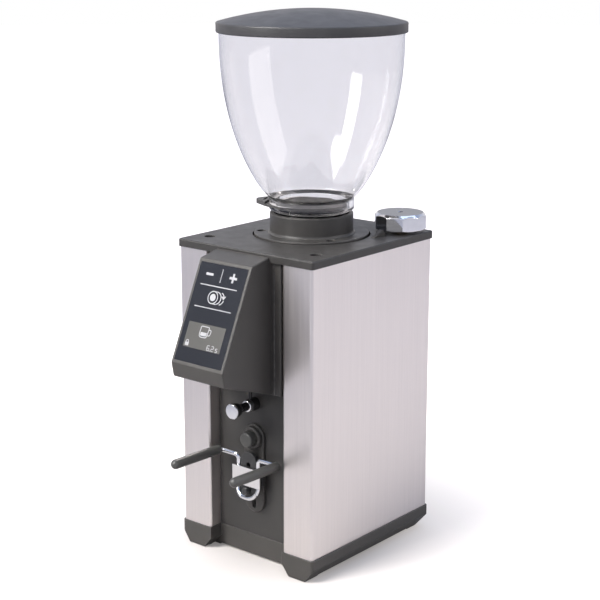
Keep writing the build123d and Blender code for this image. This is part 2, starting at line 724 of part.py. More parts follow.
def plunger_barrel():
    """Barrel on the panel with a thin post up to the head."""
    barrel = rod_y(6.8, -93, PANEL_Y, 0, PLUNGER_Z)
    barrel = chamfer(barrel.edges().group_by(Axis.Y)[0], 0.6)
    barrel += rod_z(1.8, PLUNGER_Z + 3, BACKPLATE_LOW, 0, -90.6)
    return barrel - rod_y(PLUNGER_SHAFT_R + RUNNING_GAP, -95, -80, 0, PLUNGER_Z)


def plunger_ring():
    """Plated ring in front of the barrel."""
    ring = rod_y(6.1, -97, -93, 0, PLUNGER_Z)
    ring = fillet(ring.edges().group_by(Axis.Y)[0], 1.2)
    return ring - rod_y(PLUNGER_SHAFT_R + RUNNING_GAP, -99, -90, 0, PLUNGER_Z)


def plunger_grip():
    """Waisted grip with the shaft that runs in the barrel."""
    profile = [(0, 0), (4.6, 0), (4.3, 2), (4.3, 9), (6.4, 12), (7.4, 15.5), (7.4, 18.7), (0, 18.7)]
    face = make_face(Polyline(*profile, close=True))
    grip = revolve(face, Axis.Y)
    grip = Pos(0, -97.3, PLUNGER_Z) * Rot(180, 0, 0) * grip
    return grip + rod_y(PLUNGER_SHAFT_R, -98, -70, 0, PLUNGER_Z)


def plunger_cap():
    """Plated button on the end of the grip."""
    cap = rod_y(8.0, PLUNGER_FRONT, -116, 0, PLUNGER_Z)
    return fillet(cap.edges(), 1.2)


# ---------------------------------------------------------------- filter-holder fork
BRACKET_BACK = -91.2
PLATE_BACK = WIRE_Y - WIRE_R


def fork_wire():
    """Bent wire: two arms towards the front, joined by a loop below the clamp."""
    reach = 54.0
    tip_y = SLEEVE_ROOT - reach * cos(radians(FORK_TILT))
    tip_z = FORK_Z + (reach + WIRE_Y - SLEEVE_ROOT) * sin(radians(FORK_TILT))
    half = [(FORK_X, tip_y, tip_z), (FORK_X, WIRE_Y, FORK_Z), (LOOP_X, WIRE_Y, FORK_Z),
            (LOOP_X, WIRE_Y, 81.5), (LOOP_X, -98.5, LOOP_Z)]
    other = [(-x, y, z) for x, y, z in reversed(half)]
    path = FilletPolyline(*half, *other, radius=[5, 5, 6, 11, 11, 6, 5, 5])
    section = Plane(path @ 0, z_dir=path % 0) * Circle(WIRE_R)
    return sweep(section, path=path)


def fork_sleeve(side):
    """Soft sleeve with a round tip, pushed over one arm."""
    bar = rod_y(SLEEVE_R, -SLEEVE_LENGTH, 0)
    sleeve = chamfer(bar.edges().group_by(Axis.Y)[-1], 0.7)
    sleeve += Pos(0, -SLEEVE_LENGTH, 0) * Sphere(SLEEVE_R)
    sleeve -= rod_y(WIRE_R, -54, 1) + rod_y(WIRE_R + 1.2, -3.4, 1)
    root_z = FORK_Z + (WIRE_Y - SLEEVE_ROOT) * sin(radians(FORK_TILT))
    return Pos(side * FORK_X, SLEEVE_ROOT, root_z) * Rot(-FORK_TILT, 0, 0) * sleeve


def fork_clamp_plate():
    """Polished plate that presses the wire on the bracket."""
    plate = block(-18.6, 18.6, PLATE_BACK - 2.0, PLATE_BACK, 82.7, 102.4)
    return fillet(edges_along(plate, Axis.Y), 0.8)


def fork_bracket():
    """Slider with a rounded tongue, wings behind the wire and a stem through the slot."""
    tongue = block(-10, 10, -94.5, BRACKET_BACK, 72, 118)
    tongue = fillet(edges_along(tongue, Axis.Y, lambda c: c.Z > 100), 9.8)
    tongue -= rod_y(3.0, -100, -80, 0, 104)
    wings = block(-17, 17, BRACKET_BACK, -88.6, 84, 99)
    stem = block(-1.9, 1.9, BRACKET_BACK, -81.2, 76, 92)
    return tongue + wings + stem


def fork_lock_screw():
    """Round-headed screw that locks the fork's height."""
    screw = rod_y(3.5, -101.5, -94.5, 0, 77.6)
    screw = fillet(screw.edges().group_by(Axis.Y)[0], 1.0)
    return screw


def fork_nut_plate():
    """Plate behind the panel that holds the slider on it."""
    return block(-7, 7, -81.2, -78.2, 74, 94)


# ---------------------------------------------------------------- hopper, gate and lid
def bowl_curve(offset_in):
    """Points on the bowl's side, from its foot to its mouth, moved in by a wall thickness."""
    outline = [(45.0, 370), (60.4, 392), (76.0, 424), (85.6, 456), (91.2, 488), (93.6, 515), (94.0, 536)]
    return [(r - offset_in, z) for r, z in outline]


def hopper_bowl():
    """Clear hopper: neck, gate ring with its slot, and the bell-shaped bowl."""
    outer = bowl_curve(0)
    inner = bowl_curve(HOPPER_WALL)
    foot = COLLAR_SEAT + 0.3
    below = [outer[0], (GATE_RING_R, 368.4), (GATE_RING_R, 357.4), (GATE_RING_R - 1, 356.2),
             (NECK_R, 355), (NECK_R, foot + 4), (COLLAR_BORE - 0.08, foot + 3),
             (COLLAR_BORE - 0.08, foot), (NECK_BORE, foot), (NECK_BORE, 356.4),
             (GATE_POCKET_R, 357), (GATE_POCKET_R, 366.5), inner[0]]
    mouth = [inner[-1], (inner[-1][0], BOWL_TOP), (outer[-1][0], BOWL_TOP), outer[-1]]
    outline = Spline(*outer, tangents=[(0.5, 1), (0, 1)]) + Polyline(*below)
    outline += Spline(*inner, tangents=[(0.5, 1), (0, 1)]) + Polyline(*mouth)
    bowl = Pos(0, AXIS_Y, 0) * revolve(Plane.XZ * make_face(outline), Axis.Z)
    half = GATE_PLATE_R + 0.4
    slot = block(5, 60, -half, half, GATE_LOW - 0.4, GATE_LOW + GATE_T + 0.5)
    return bowl - Pos(0, AXIS_Y, 0) * Rot(0, 0, GATE_ANGLE) * slot


def gate_slide():
    """Bean gate: a round-ended plate with a thicker finger tab outside the hopper."""
    plate = rod_z(GATE_PLATE_R, GATE_LOW, GATE_LOW + GATE_T)
    shoulder = [(0, -GATE_PLATE_R), (24, -GATE_PLATE_R), (45, -GATE_TAB_W / 2), (45, GATE_TAB_W / 2),
                (24, GATE_PLATE_R), (0, GATE_PLATE_R)]
    plate += prism_z(shoulder, GATE_LOW, GATE_LOW + GATE_T)
    end = GATE_TAB_REACH - GATE_TAB_END_R
    top = GATE_LOW + GATE_TAB_T
    flank = [(GATE_TAB_FROM, -GATE_TAB_W / 2), (end + 6.5, -8.2), (end + 6.5, 8.2),
             (GATE_TAB_FROM, GATE_TAB_W / 2)]
    tab = prism_z(flank, GATE_LOW, top)
    tab += rod_z(GATE_TAB_END_R, GATE_LOW, top, end, 0)
    tab -= block(0, GATE_TAB_FROM, -30, 30, GATE_LOW - 1, top + 1)
    tab -= block(47.9, 50.5, -5.5, 5.5, top - 1.6, top + 1)
    tab -= rod_z(1.3, top - 1.6, top + 1, 49.2, -5.5) + rod_z(1.3, top - 1.6, top + 1, 49.2, 5.5)
    return Pos(0, AXIS_Y, 0) * Rot(0, 0, GATE_ANGLE) * (plate + tab)


def lid():
    """Shallow domed lid with a rim outside the bowl and a plug ring inside it."""
    rise = LID_TOP - LID_RIM_TOP
    dome_r = (rise * rise + (LID_R - 2) ** 2) / (2 * rise)
    dome = Pos(0, AXIS_Y, LID_TOP - dome_r) * Sphere(dome_r)
    disc = rod_z(LID_R, LID_LOW, LID_TOP, 0, AXIS_Y)
    top = disc & dome
    top = fillet(top.edges().filter_by(GeomType.CIRCLE), 2.0)
    inner_dome = Pos(0, AXIS_Y, LID_TOP - 2.6 - dome_r) * Sphere(dome_r)
    top -= rod_z(88.0, LID_LOW - 1, LID_TOP, 0, AXIS_Y) & inner_dome
    return top - tube_z(94.6, 90.6, LID_LOW - 1, BOWL_TOP + 0.3, 0, AXIS_Y)


# ---------------------------------------------------------------- inlet and switch
def inlet_socket():
    """Mains inlet housing with a flange and an open socket."""
    socket = block(INLET_X - 13.5, INLET_X + 13.5, 74, REAR_Y, INLET_Z - 10, INLET_Z + 10)
    flange = block(INLET_X - 16, INLET_X + 16, REAR_Y, 101, INLET_Z - 13, INLET_Z + 13)
    flange = fillet(edges_along(flange, Axis.Y), 2.5)
    socket += flange
    socket -= block(INLET_X - 12, INLET_X + 12, 82, 102, INLET_Z - 8, INLET_Z + 8)
    for pin in inlet_pins():
        socket -= pin
    return socket


def inlet_pins():
    """Three flat contact pins."""
    pins = []
    for x, z in ((-7.0, -2.0), (7.0, -2.0), (0.0, 2.0)):
        pins.append(block(INLET_X + x - 1, INLET_X + x + 1, 72, 96, INLET_Z + z - 2, INLET_Z + z + 2))
    return pins


def rocker_frame():
    """Bezel and body of the mains switch, with pivot bores."""
    frame = block(INLET_X - 10.5, INLET_X + 10.5, 80, REAR_Y, ROCKER_Z - 15, ROCKER_Z + 15)
    bezel = block(INLET_X - 12.5, INLET_X + 12.5, REAR_Y, 100.4, ROCKER_Z - 17, ROCKER_Z + 17)
    bezel = fillet(edges_along(bezel, Axis.Y), 2.0)
    frame += bezel
    frame -= block(INLET_X - 8.8, INLET_X + 8.8, 84, 102, ROCKER_Z - 13.6, ROCKER_Z + 13.6)
    return frame - rod_x(1.5 + RUNNING_GAP, INLET_X - 10, INLET_X + 10, ROCKER_PIVOT_Y, ROCKER_Z)


def rocker_switch():
    """Rocker with a shallow V front, resting in its off position."""
    outline = [(-4, -6), (0.5, -11.6), (8.2, -12), (6.2, 0), (8.2, 12), (0.5, 11.6), (-4, 6)]
    rocker = prism_x(outline, 8.4)
    rocker += rod_x(1.5, -9.8, 9.8)
    return Pos(INLET_X, ROCKER_PIVOT_Y, ROCKER_Z) * Rot(-ROCKER_TILT, 0, 0) * rocker


# ---------------------------------------------------------------- the nodes
right_shell = side_shell()
save("base_tray", base_tray())
save("rubber_feet", *rubber_feet())
save("right_side_shell", right_shell)
save("left_side_shell", mirror(right_shell, about=Plane.YZ))
save("rear_cover", rear_cover())
save("rear_cover_screws", *rear_cover_screws())
save("front_panel", front_panel())
save("top_plate", top_plate())
save("top_plate_screws", *top_plate_screws())
save("index_pointer", index_pointer())
save("frame_posts", *frame_posts())
save("head_backplate", head_backplate())
save("head_housing", head_housing())
save("touch_glass", touch_glass())
save("display_module", display_module())
save("control_board", control_board())
save("spout_chute", spout_chute())
save("escutcheon", escutcheon())
save("button_housing", button_housing())
save("start_button", start_button())
save("start_switch", start_switch())
save("plunger_barrel", plunger_barrel())
save("plunger_ring", plunger_ring())
save("plunger_grip", plunger_grip())
save("plunger_cap", plunger_cap())
save("fork_wire", fork_wire())
save("fork_sleeves", fork_sleeve(-1), fork_sleeve(1))
save("fork_clamp_plate", fork_clamp_plate())
save("fork_bracket", fork_bracket())
save("fork_lock_screw", fork_lock_screw())
save("fork_nut_plate", fork_nut_plate())
save("adjust_collar", adjust_collar())
save("collar_neck", collar_neck())
save("flange_screws", *flange_screws())
save("ring_gear", ring_gear())
save("upper_burr_carrier", upper_burr_carrier())
save("upper_burr", burr(UPPER_BURR_LOW, UPPER_BURR_TOP))
save("pinion", pinion())
save("adjust_knob", adjust_knob())
save("knob_shaft", knob_shaft())
save("knob_bushing", knob_bushing())
save("hopper_bowl", hopper_bowl())
save("gate_slide", gate_slide())
save("lid", lid())
save("grinding_chamber", grinding_chamber())
save("lower_burr", burr(LOWER_BURR_TOP, LOWER_BURR_LOW))
save("lower_burr_carrier", lower_burr_carrier())
save("motor_mount_plate", motor_mount_plate())
save("motor_stator", tube_z(MOTOR_R, STATOR_BORE, STATOR_LOW, STATOR_TOP, 0, AXIS_Y))
save("upper_end_bell", end_bell(STATOR_TOP, MOUNT_LOW))
save("lower_end_bell", end_bell(STATOR_LOW, 70.0))
save("shaft_bearings", *shaft_bearings())
save("motor_shaft", rod_z(SHAFT_R, SHAFT_LOW, SHAFT_TOP, 0, AXIS_Y))
save("rotor_core", tube_z(ROTOR_R, SHAFT_R, STATOR_LOW + 5, STATOR_TOP - 5, 0, AXIS_Y))
save("cooling_fan", cooling_fan())
save("run_capacitor", run_capacitor())
save("power_board", power_board())
save("inlet_socket", inlet_socket())
save("inlet_pins", *inlet_pins())
save("rocker_frame", rocker_frame())
save("rocker_switch", rocker_switch())
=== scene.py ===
"""Looks of an upright burr coffee grinder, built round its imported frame.

Every new piece is a surface worked out with numpy, placed by the frame's own boxes and joints.
Every finish is procedural and reads Object coordinates, so it stays on its piece as that moves.
Lengths in the classes are millimetres in the frame's axes, and MM turns them into metres.
"""

import json
import logging
import math
from dataclasses import dataclass
from enum import Enum

import bmesh
import bpy
import numpy as np
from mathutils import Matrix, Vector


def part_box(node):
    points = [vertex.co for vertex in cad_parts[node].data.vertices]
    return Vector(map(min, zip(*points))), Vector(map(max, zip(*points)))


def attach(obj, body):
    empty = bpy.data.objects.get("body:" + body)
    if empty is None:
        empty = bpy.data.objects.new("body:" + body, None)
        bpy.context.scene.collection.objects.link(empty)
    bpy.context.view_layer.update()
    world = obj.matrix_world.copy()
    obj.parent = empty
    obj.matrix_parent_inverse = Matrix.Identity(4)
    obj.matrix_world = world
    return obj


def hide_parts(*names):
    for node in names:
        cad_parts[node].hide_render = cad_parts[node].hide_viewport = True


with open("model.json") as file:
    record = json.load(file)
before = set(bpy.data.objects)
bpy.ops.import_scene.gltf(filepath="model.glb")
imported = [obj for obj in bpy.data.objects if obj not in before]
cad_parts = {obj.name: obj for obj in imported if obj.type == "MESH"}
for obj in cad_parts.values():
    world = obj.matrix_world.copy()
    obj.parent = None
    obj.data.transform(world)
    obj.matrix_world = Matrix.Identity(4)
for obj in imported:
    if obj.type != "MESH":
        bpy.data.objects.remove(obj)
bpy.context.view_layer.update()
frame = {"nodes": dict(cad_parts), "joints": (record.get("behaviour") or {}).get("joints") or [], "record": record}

LOG = logging.getLogger("grinder")
MM = 0.001
WELD = 2e-6
TOO_SHORT = 1e-7
Array = np.ndarray
Colour = tuple[float, float, float]


# ------------------------------------------------------------------ frame look-ups
def joint(name: str) -> dict:
    """The frame's joint of that name."""
    return next(j for j in frame["joints"] if j["name"] == name)


def box_mm(node: str) -> tuple[Array, Array]:
    """A node's lowest and highest corner in millimetres."""
    low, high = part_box(node)
    return np.array(low) / MM, np.array(high) / MM


def vertices_mm(node: str) -> Array:
    """A node's vertices in millimetres, one row each."""
    mesh = frame["nodes"][node].data
    flat = np.zeros(len(mesh.vertices) * 3, np.float32)
    mesh.vertices.foreach_get("co", flat)
    return flat.reshape(-1, 3).astype(float) / MM


# ------------------------------------------------------------------ surfaces
@dataclass
class Surface:
    """Points in millimetres, and faces as tuples of point numbers."""

    points: Array
    faces: list

    def placed(self, turn: Array, origin: Array) -> "Surface":
        """The same surface turned by a 3 x 3 matrix and then moved."""
        return Surface(self.points @ turn.T + np.asarray(origin, float), self.faces)

    def on_joint(self, name: str) -> "Surface":
        """The same surface moved sideways onto a joint's upright axis."""
        across, back = joint(name)["pos_m"][:2]
        return self.placed(np.eye(3), (across / MM, back / MM, 0))

    def joined(self, other: "Surface") -> "Surface":
        """Both surfaces as one."""
        shift = len(self.points)
        faces = self.faces + [tuple(i + shift for i in face) for face in other.faces]
        return Surface(np.vstack([self.points, other.points]), faces)


FACING_FRONT = np.array([[1.0, 0, 0], [0, 0, -1.0], [0, 1.0, 0]])


def grid_faces(rows: int, columns: int, rows_close: bool = False,
               columns_close: bool = False) -> list:
    """Quads of a grid whose points are numbered row by row.

    Args:
        rows: number of rows of points.
        columns: number of points in a row.
        rows_close: whether the last row joins the first.
        columns_close: whether each row is a closed ring.

    Returns:
        The faces as tuples of point numbers.
    """
    row = np.arange(rows if rows_close else rows - 1)[:, None]
    column = np.arange(columns if columns_close else columns - 1)[None, :]
    below = (row + 1) % rows
    beside = (column + 1) % columns
    quads = np.stack([row * columns + column, row * columns + beside,
                      below * columns + beside, below * columns + column], -1)
    return [tuple(quad) for quad in quads.reshape(-1, 4).tolist()]


def rounded(points: list, radii: list, steps: int = 6, closed: bool = False,
            share_of_side: float = 0.499) -> Array:
    """Polyline with its corners replaced by arcs.

    Each corner's arc leaves the two sides at equal distances, and its points follow the circle
    that touches both sides there.

    Args:
        points: corners, in two or three dimensions.
        radii: arc radius at each corner; zero keeps the corner.
        steps: number of spans in an arc.
        closed: whether the last corner joins the first.
        share_of_side: how much of a side one corner's arc may take.

    Returns:
        The points of the rounded line, one row each.
    """
    corners = np.asarray(points, float)
    count = len(corners)
    line: list = []
    for index, radius in enumerate(radii):
        here = corners[index]
        if radius <= 0 or (not closed and index in (0, count - 1)):
            line.append(here[None, :])
            continue
        back = corners[index - 1] - here
        ahead = corners[(index + 1) % count] - here
        room = min(np.linalg.norm(back), np.linalg.norm(ahead)) * share_of_side
        back /= np.linalg.norm(back)
        ahead /= np.linalg.norm(ahead)
        half = math.acos(float(np.clip(back @ ahead, -1, 1))) / 2
        leave = min(radius / math.tan(half), room)
        radius = leave * math.tan(half)
        middle = (back + ahead) / np.linalg.norm(back + ahead)
        centre = here + middle * radius / math.sin(half)
        start, end = here + back * leave - centre, here + ahead * leave - centre
        sweep = math.pi - 2 * half
        share = np.linspace(0, 1, steps + 1)[:, None]
        arc = (np.sin((1 - share) * sweep) * start + np.sin(share * sweep) * end) / math.sin(sweep)
        line.append(centre + arc)
    return np.vstack(line)


def lathe(profile: Array, turns: int = 144, closed: bool = False) -> Surface:
    """Surface of revolution about +Z: a point is (r cos t, r sin t, z) for each profile (r, z).

    Args:
        profile: rows of radius and height.
        turns: number of spans round the axis.
        closed: whether the profile is a loop, as of a hollow ring.
    """
    angle = np.linspace(0, 2 * math.pi, turns, endpoint=False)
    radius, height = profile[:, :1], profile[:, 1:]
    points = np.stack([radius * np.cos(angle), radius * np.sin(angle),
                       height + 0 * angle], -1).reshape(-1, 3)
    return Surface(points, grid_faces(len(profile), turns, closed, True))


def tube(path: Array, radius: Array, sides: int = 28) -> Surface:
    """Round bar along a path: each path point carries a circle across the path's own direction.

    Args:
        path: centre points, one row each.
        radius: radius at each centre point; zero closes an end.
        sides: number of spans round the bar.
    """
    along = np.gradient(path, axis=0)
    along /= np.linalg.norm(along, axis=1, keepdims=True)
    aside = np.cross(along, np.array([0.53, 0.31, 0.79]))
    aside /= np.linalg.norm(aside, axis=1, keepdims=True)
    across = np.cross(along, aside)
    angle = np.linspace(0, 2 * math.pi, sides, endpoint=False)[None, :, None]
    ring = np.cos(angle) * aside[:, None] + np.sin(angle) * across[:, None]
    points = path[:, None] + ring * np.asarray(radius, float)[:, None, None]
    return Surface(points.reshape(-1, 3), grid_faces(len(path), sides, False, True))


def slab(outline: Array, low: float, high: float) -> Surface:
    """Plate with an anticlockwise outline and upright sides, between two heights."""
    count = len(outline)
    rings = np.repeat(outline[None], 2, axis=0)
    level = np.broadcast_to(np.array([low, high])[:, None, None], (2, count, 1))
    points = np.concatenate([rings, level], -1).reshape(-1, 3)
    faces = grid_faces(2, count, False, True)
    faces += [tuple(range(count - 1, -1, -1)), tuple(range(count, 2 * count))]
    return Surface(points, faces)


def ribbon(line: Array, width: float, low: float, high: float) -> Surface:
    """Thin raised stroke: the line widened by half its width to each side along its normals."""
    along = np.gradient(line, axis=0)
    along /= np.linalg.norm(along, axis=1, keepdims=True)
    side = np.stack([-along[:, 1], along[:, 0]], 1) * width / 2
    return slab(np.vstack([line - side, (line + side)[::-1]]), low, high)


def arc_line(x: float, y: float, radius: float, start: float, end: float,
             count: int = 40) -> Array:
    """Points on a circle about (x, y), from one angle to another in degrees."""
    angle = np.radians(np.linspace(start, end, count))
    return np.stack([x + radius * np.cos(angle), y + radius * np.sin(angle)], 1)


def line_between(x0: float, y0: float, x1: float, y1: float) -> Array:
    """Two-point line."""
    return np.array([[x0, y0], [x1, y1]])


def rectangle(x0: float, x1: float, y0: float, y1: float, radius: float = 0.0) -> Array:
    """Rectangle's outline, anticlockwise, with round corners."""
    corners = [(x0, y0), (x1, y0), (x1, y1), (x0, y1)]
    return rounded(corners, [radius] * 4, 6, True)


def make_piece(name: str, surface: Surface, body: str, finish: "Finish",
               stands_for: tuple = (), sharp: float = 32.0) -> bpy.types.Object:
    """Turns a surface into a finished piece that rides on a body.

    Doubled points are welded, so that poles and seams close, and the faces are turned outwards.

    Args:
        name: the piece's name.
        surface: its points and faces.
        body: the body it moves with.
        finish: what it is made of.
        stands_for: nodes that it replaces.
        sharp: edges that turn more than this many degrees stay crisp.

    Returns:
        The new object.
    """
    mesh = bpy.data.meshes.new(name)
    mesh.from_pydata((surface.points * MM).tolist(), [], surface.faces)
    work = bmesh.new()
    work.from_mesh(mesh)
    bmesh.ops.remove_doubles(work, verts=work.verts, dist=WELD)
    bmesh.ops.dissolve_degenerate(work, edges=work.edges, dist=TOO_SHORT)
    bmesh.ops.recalc_face_normals(work, faces=work.faces)
    if work.calc_volume(signed=True) < 0:
        bmesh.ops.reverse_faces(work, faces=work.faces)
    work.to_mesh(mesh)
    work.free()
    mesh.shade_smooth()
    mesh.set_sharp_from_angle(angle=math.radians(sharp))
    piece = bpy.data.objects.new(name, mesh)
    bpy.context.scene.collection.objects.link(piece)
    mesh.materials.append(finish.material())
    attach(piece, body)
    if stands_for:
        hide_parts(*stands_for)
    LOG.info("%s: %d faces on %s", name, len(mesh.polygons), body)
    return piece


# ------------------------------------------------------------------ shader groups
class Sketch:
    """A node tree with short ways to add and join nodes."""

    def __init__(self, tree: bpy.types.NodeTree) -> None:
        """Starts on a tree."""
        self.tree = tree

    def add(self, kind: str, inputs: dict | None = None, **settings: object) -> bpy.types.Node:
        """Adds a node.

        Args:
            kind: the node's type without its ShaderNode prefix.
            inputs: socket to a value, or to another node's output socket.
            settings: attributes of the node.

        Returns:
            The node.
        """
        node = self.tree.nodes.new(kind if kind.startswith("Node") else "ShaderNode" + kind)
        for key, value in settings.items():
            setattr(node, key, value)
        for key, value in (inputs or {}).items():
            if isinstance(value, bpy.types.NodeSocket):
                self.tree.links.new(value, node.inputs[key])
            else:
                node.inputs[key].default_value = value
        return node

    def place(self) -> bpy.types.NodeSocket:
        """Object coordinates."""
        return self.add("TexCoord").outputs["Object"]

    def height(self, vector: object) -> bpy.types.NodeSocket:
        """A vector's Z."""
        return self.add("SeparateXYZ", {0: vector}).outputs[2]

    def normal(self) -> bpy.types.NodeSocket:
        """The surface's own normal."""
        return self.add("NewGeometry").outputs["Normal"]

    def math(self, operation: str, first: object, second: object = 0.0) -> bpy.types.NodeSocket:
        """One arithmetic step."""
        return self.add("Math", {0: first, 1: second}, operation=operation).outputs[0]

    def noise(self, vector: object, scale: float, detail: float = 3.0,
              rough: float = 0.55) -> bpy.types.NodeSocket:
        """Noise from 0 to 1."""
        return self.add("TexNoise", {"Vector": vector, "Scale": scale, "Detail": detail,
                                     "Roughness": rough}).outputs["Fac"]

    def spread(self, value: object, low: float, high: float, to_low: float = 0.0,
               to_high: float = 1.0) -> bpy.types.NodeSocket:
        """Maps one range onto another and clamps it."""
        return self.add("MapRange", {"Value": value, "From Min": low, "From Max": high,
                                     "To Min": to_low, "To Max": to_high}).outputs[0]

    def mix(self, share: object, first: object, second: object) -> bpy.types.NodeSocket:
        """Mixes two colours."""
        node = self.add("Mix", data_type="RGBA")
        for number, value in ((0, share), (6, first), (7, second)):
            socket = node.inputs[number]
            if isinstance(value, bpy.types.NodeSocket):
                self.tree.links.new(value, socket)
            else:
                socket.default_value = value if not isinstance(value, tuple) else (*value, 1.0)
        return node.outputs[2]


def times(factor: float, colour: Colour) -> Colour:
    """A colour made darker or lighter."""
    return tuple(min(1.0, factor * part) for part in colour)


class Effect(Enum):
    """Surface effects that several finishes share, each one a node group."""

    GRAIN = "surface_grain"
    BRUSH = "brushed_grain"
    WEAR_AND_GLINT = "edge_wear_and_glint"
    DUST = "settled_dust"


NUMBER = "NodeSocketFloat"


def new_group(effect: Effect, inputs: dict, outputs: dict) -> tuple:
    """Makes an empty shader group with named sockets.

    Args:
        effect: which effect it is.
        inputs: name to default value of each input.
        outputs: name to socket type of each output.

    Returns:
        The group, its sketch, its input node and its output node.
    """
    tree = bpy.data.node_groups.new(effect.value, "ShaderNodeTree")
    for name, value in inputs.items():
        socket = tree.interface.new_socket(name, in_out="INPUT", socket_type=NUMBER)
        socket.default_value = value
    for name, kind in outputs.items():
        tree.interface.new_socket(name, in_out="OUTPUT", socket_type=kind)
    sketch = Sketch(tree)
    return tree, sketch, sketch.add("NodeGroupInput"), sketch.add("NodeGroupOutput")


def grain_group() -> bpy.types.NodeTree:
    """Fine texture of paint and moulded plastic.

    The height adds a fine noise to rounded cells of the same size. The mask is a slow noise that
    shades the colour by a few percent.
    """
    tree, s, given, result = new_group(Effect.GRAIN, {"Size": 0.5, "Depth": 1.0},
                                       {"Height": NUMBER, "Mask": NUMBER})
    place = s.place()
    scale = s.math("DIVIDE", 1000.0, given.outputs["Size"])
    fine = s.add("TexNoise", {"Vector": place, "Scale": scale, "Detail": 2.0}).outputs["Fac"]
    cells = s.add("TexVoronoi", {"Vector": place, "Scale": scale}, feature="SMOOTH_F1")
    slow = s.noise(place, 60.0, 2.0)
    height = s.math("ADD", s.math("MULTIPLY", fine, 0.6),
                    s.math("MULTIPLY", cells.outputs["Distance"], 0.5))
    height = s.math("MULTIPLY", height, given.outputs["Depth"])
    tree.links.new(height, result.inputs["Height"])
    tree.links.new(s.spread(slow, 0.3, 0.7), result.inputs["Mask"])
    return tree


def brush_group() -> bpy.types.NodeTree:
    """Upright brushing marks: noise squeezed across X and Y, stretched along Z, in two widths."""
    tree, s, given, result = new_group(Effect.BRUSH, {"Fineness": 1.0},
                                       {"Lines": NUMBER, "Bands": NUMBER})
    place = s.place()
    across = s.math("MULTIPLY", 1500.0, given.outputs["Fineness"])
    stretch = s.add("CombineXYZ", {0: across, 1: across, 2: 9.0}).outputs[0]
    narrow_place, wide_place = (
        s.add("VectorMath", {0: place, 1: by}, operation="MULTIPLY").outputs[0]
        for by in (stretch, (150.0, 150.0, 2.2)))
    fine = s.noise(narrow_place, 1.0, 4.0, 0.7)
    wide = s.noise(wide_place, 1.0, 3.0, 0.6)
    tree.links.new(fine, result.inputs["Lines"])
    tree.links.new(s.spread(wide, 0.25, 0.75), result.inputs["Bands"])
    return tree


def wear_and_glint_group() -> bpy.types.NodeTree:
    """Mask of the outer edges, for rubbed wear and a painted highlight along them: how far a rounded normal leaves
    its own.

    It also gives that rounded normal, which catches light along the edges.
    """
    tree, s, given, result = new_group(Effect.WEAR_AND_GLINT, {"Radius": 0.0008},
                                       {"Mask": NUMBER, "Normal": "NodeSocketVector"})
    soft = s.add("Bevel", {"Radius": given.outputs["Radius"]}, samples=4).outputs[0]
    agree = s.add("VectorMath", {0: soft, 1: s.normal()}, operation="DOT_PRODUCT")
    edge = s.spread(agree.outputs["Value"], 0.97, 0.75)
    patches = s.noise(s.place(), 220.0, 4.0, 0.6)
    tree.links.new(s.math("MULTIPLY", edge, s.spread(patches, 0.35, 0.65)), result.inputs["Mask"])
    tree.links.new(soft, result.inputs["Normal"])
    return tree


def dust_group() -> bpy.types.NodeTree:
    """Thin dust on what faces up: the normal's upward share times a broken-up noise."""
    tree, s, given, result = new_group(Effect.DUST, {"Amount": 0.2}, {"Mask": NUMBER})
    up = s.spread(s.height(s.normal()), 0.4, 1.0)
    spots = s.spread(s.noise(s.place(), 90.0, 6.0, 0.65), 0.45, 0.75)
    mask = s.math("MULTIPLY", s.math("MULTIPLY", up, spots), given.outputs["Amount"])
    tree.links.new(mask, result.inputs["Mask"])
    return tree


GROUP_MAKERS = {Effect.GRAIN: grain_group, Effect.BRUSH: brush_group,
                Effect.WEAR_AND_GLINT: wear_and_glint_group, Effect.DUST: dust_group}


def place_group(sketch: Sketch, effect: Effect, **values: float) -> bpy.types.Node:
    """Puts a shared group into a material, and builds the group the first time.

    Args:
        sketch: the material's tree.
        effect: which group.
        values: input name to value, with the name's first letter in lower case.

    Returns:
        The group node.
    """
    tree = bpy.data.node_groups.get(effect.value) or GROUP_MAKERS[effect]()
    node = sketch.add("Group", node_tree=tree)
    for name, value in values.items():
        node.inputs[name.capitalize()].default_value = value
    return node


# ------------------------------------------------------------------ finishes
@dataclass(frozen=True)
class Finish:
    """A surface finish, which builds its material once and hands it out again."""

    name: str
    colour: Colour = (0.5, 0.5, 0.5)
    roughness: float = 0.5

    def material(self) -> bpy.types.Material:
        """The finish's material."""
        made = bpy.data.materials.get(self.name)
        if made is None:
            made = bpy.data.materials.new(self.name)
            made.use_nodes = True
            sketch = Sketch(made.node_tree)
            shader = made.node_tree.nodes["Principled BSDF"]
            shader.inputs["Base Color"].default_value = (*self.colour, 1.0)
            shader.inputs["Roughness"].default_value = self.roughness
            self.dress(sketch, shader)
        return made

    def dress(self, sketch: Sketch, shader: bpy.types.Node) -> None:
        """Adds what this finish has beyond a colour and a roughness."""

    def join(self, sketch: Sketch, shader: bpy.types.Node, **links: bpy.types.NodeSocket) -> None:
        """Links sockets to the shader's inputs, named with underscores for spaces."""
        for name, socket in links.items():
            sketch.tree.links.new(socket, shader.inputs[name.replace("_", " ").title()])

    def bumped(self, sketch: Sketch, height: bpy.types.NodeSocket, depth: float,
               normal: bpy.types.NodeSocket | None = None) -> bpy.types.NodeSocket:
        """A normal shaped by a height, in metres of depth."""
        inputs = {"Height": height, "Distance": depth, "Strength": 1.0}
        if normal is not None:
            inputs["Normal"] = normal
        return sketch.add("Bump", inputs).outputs[0]


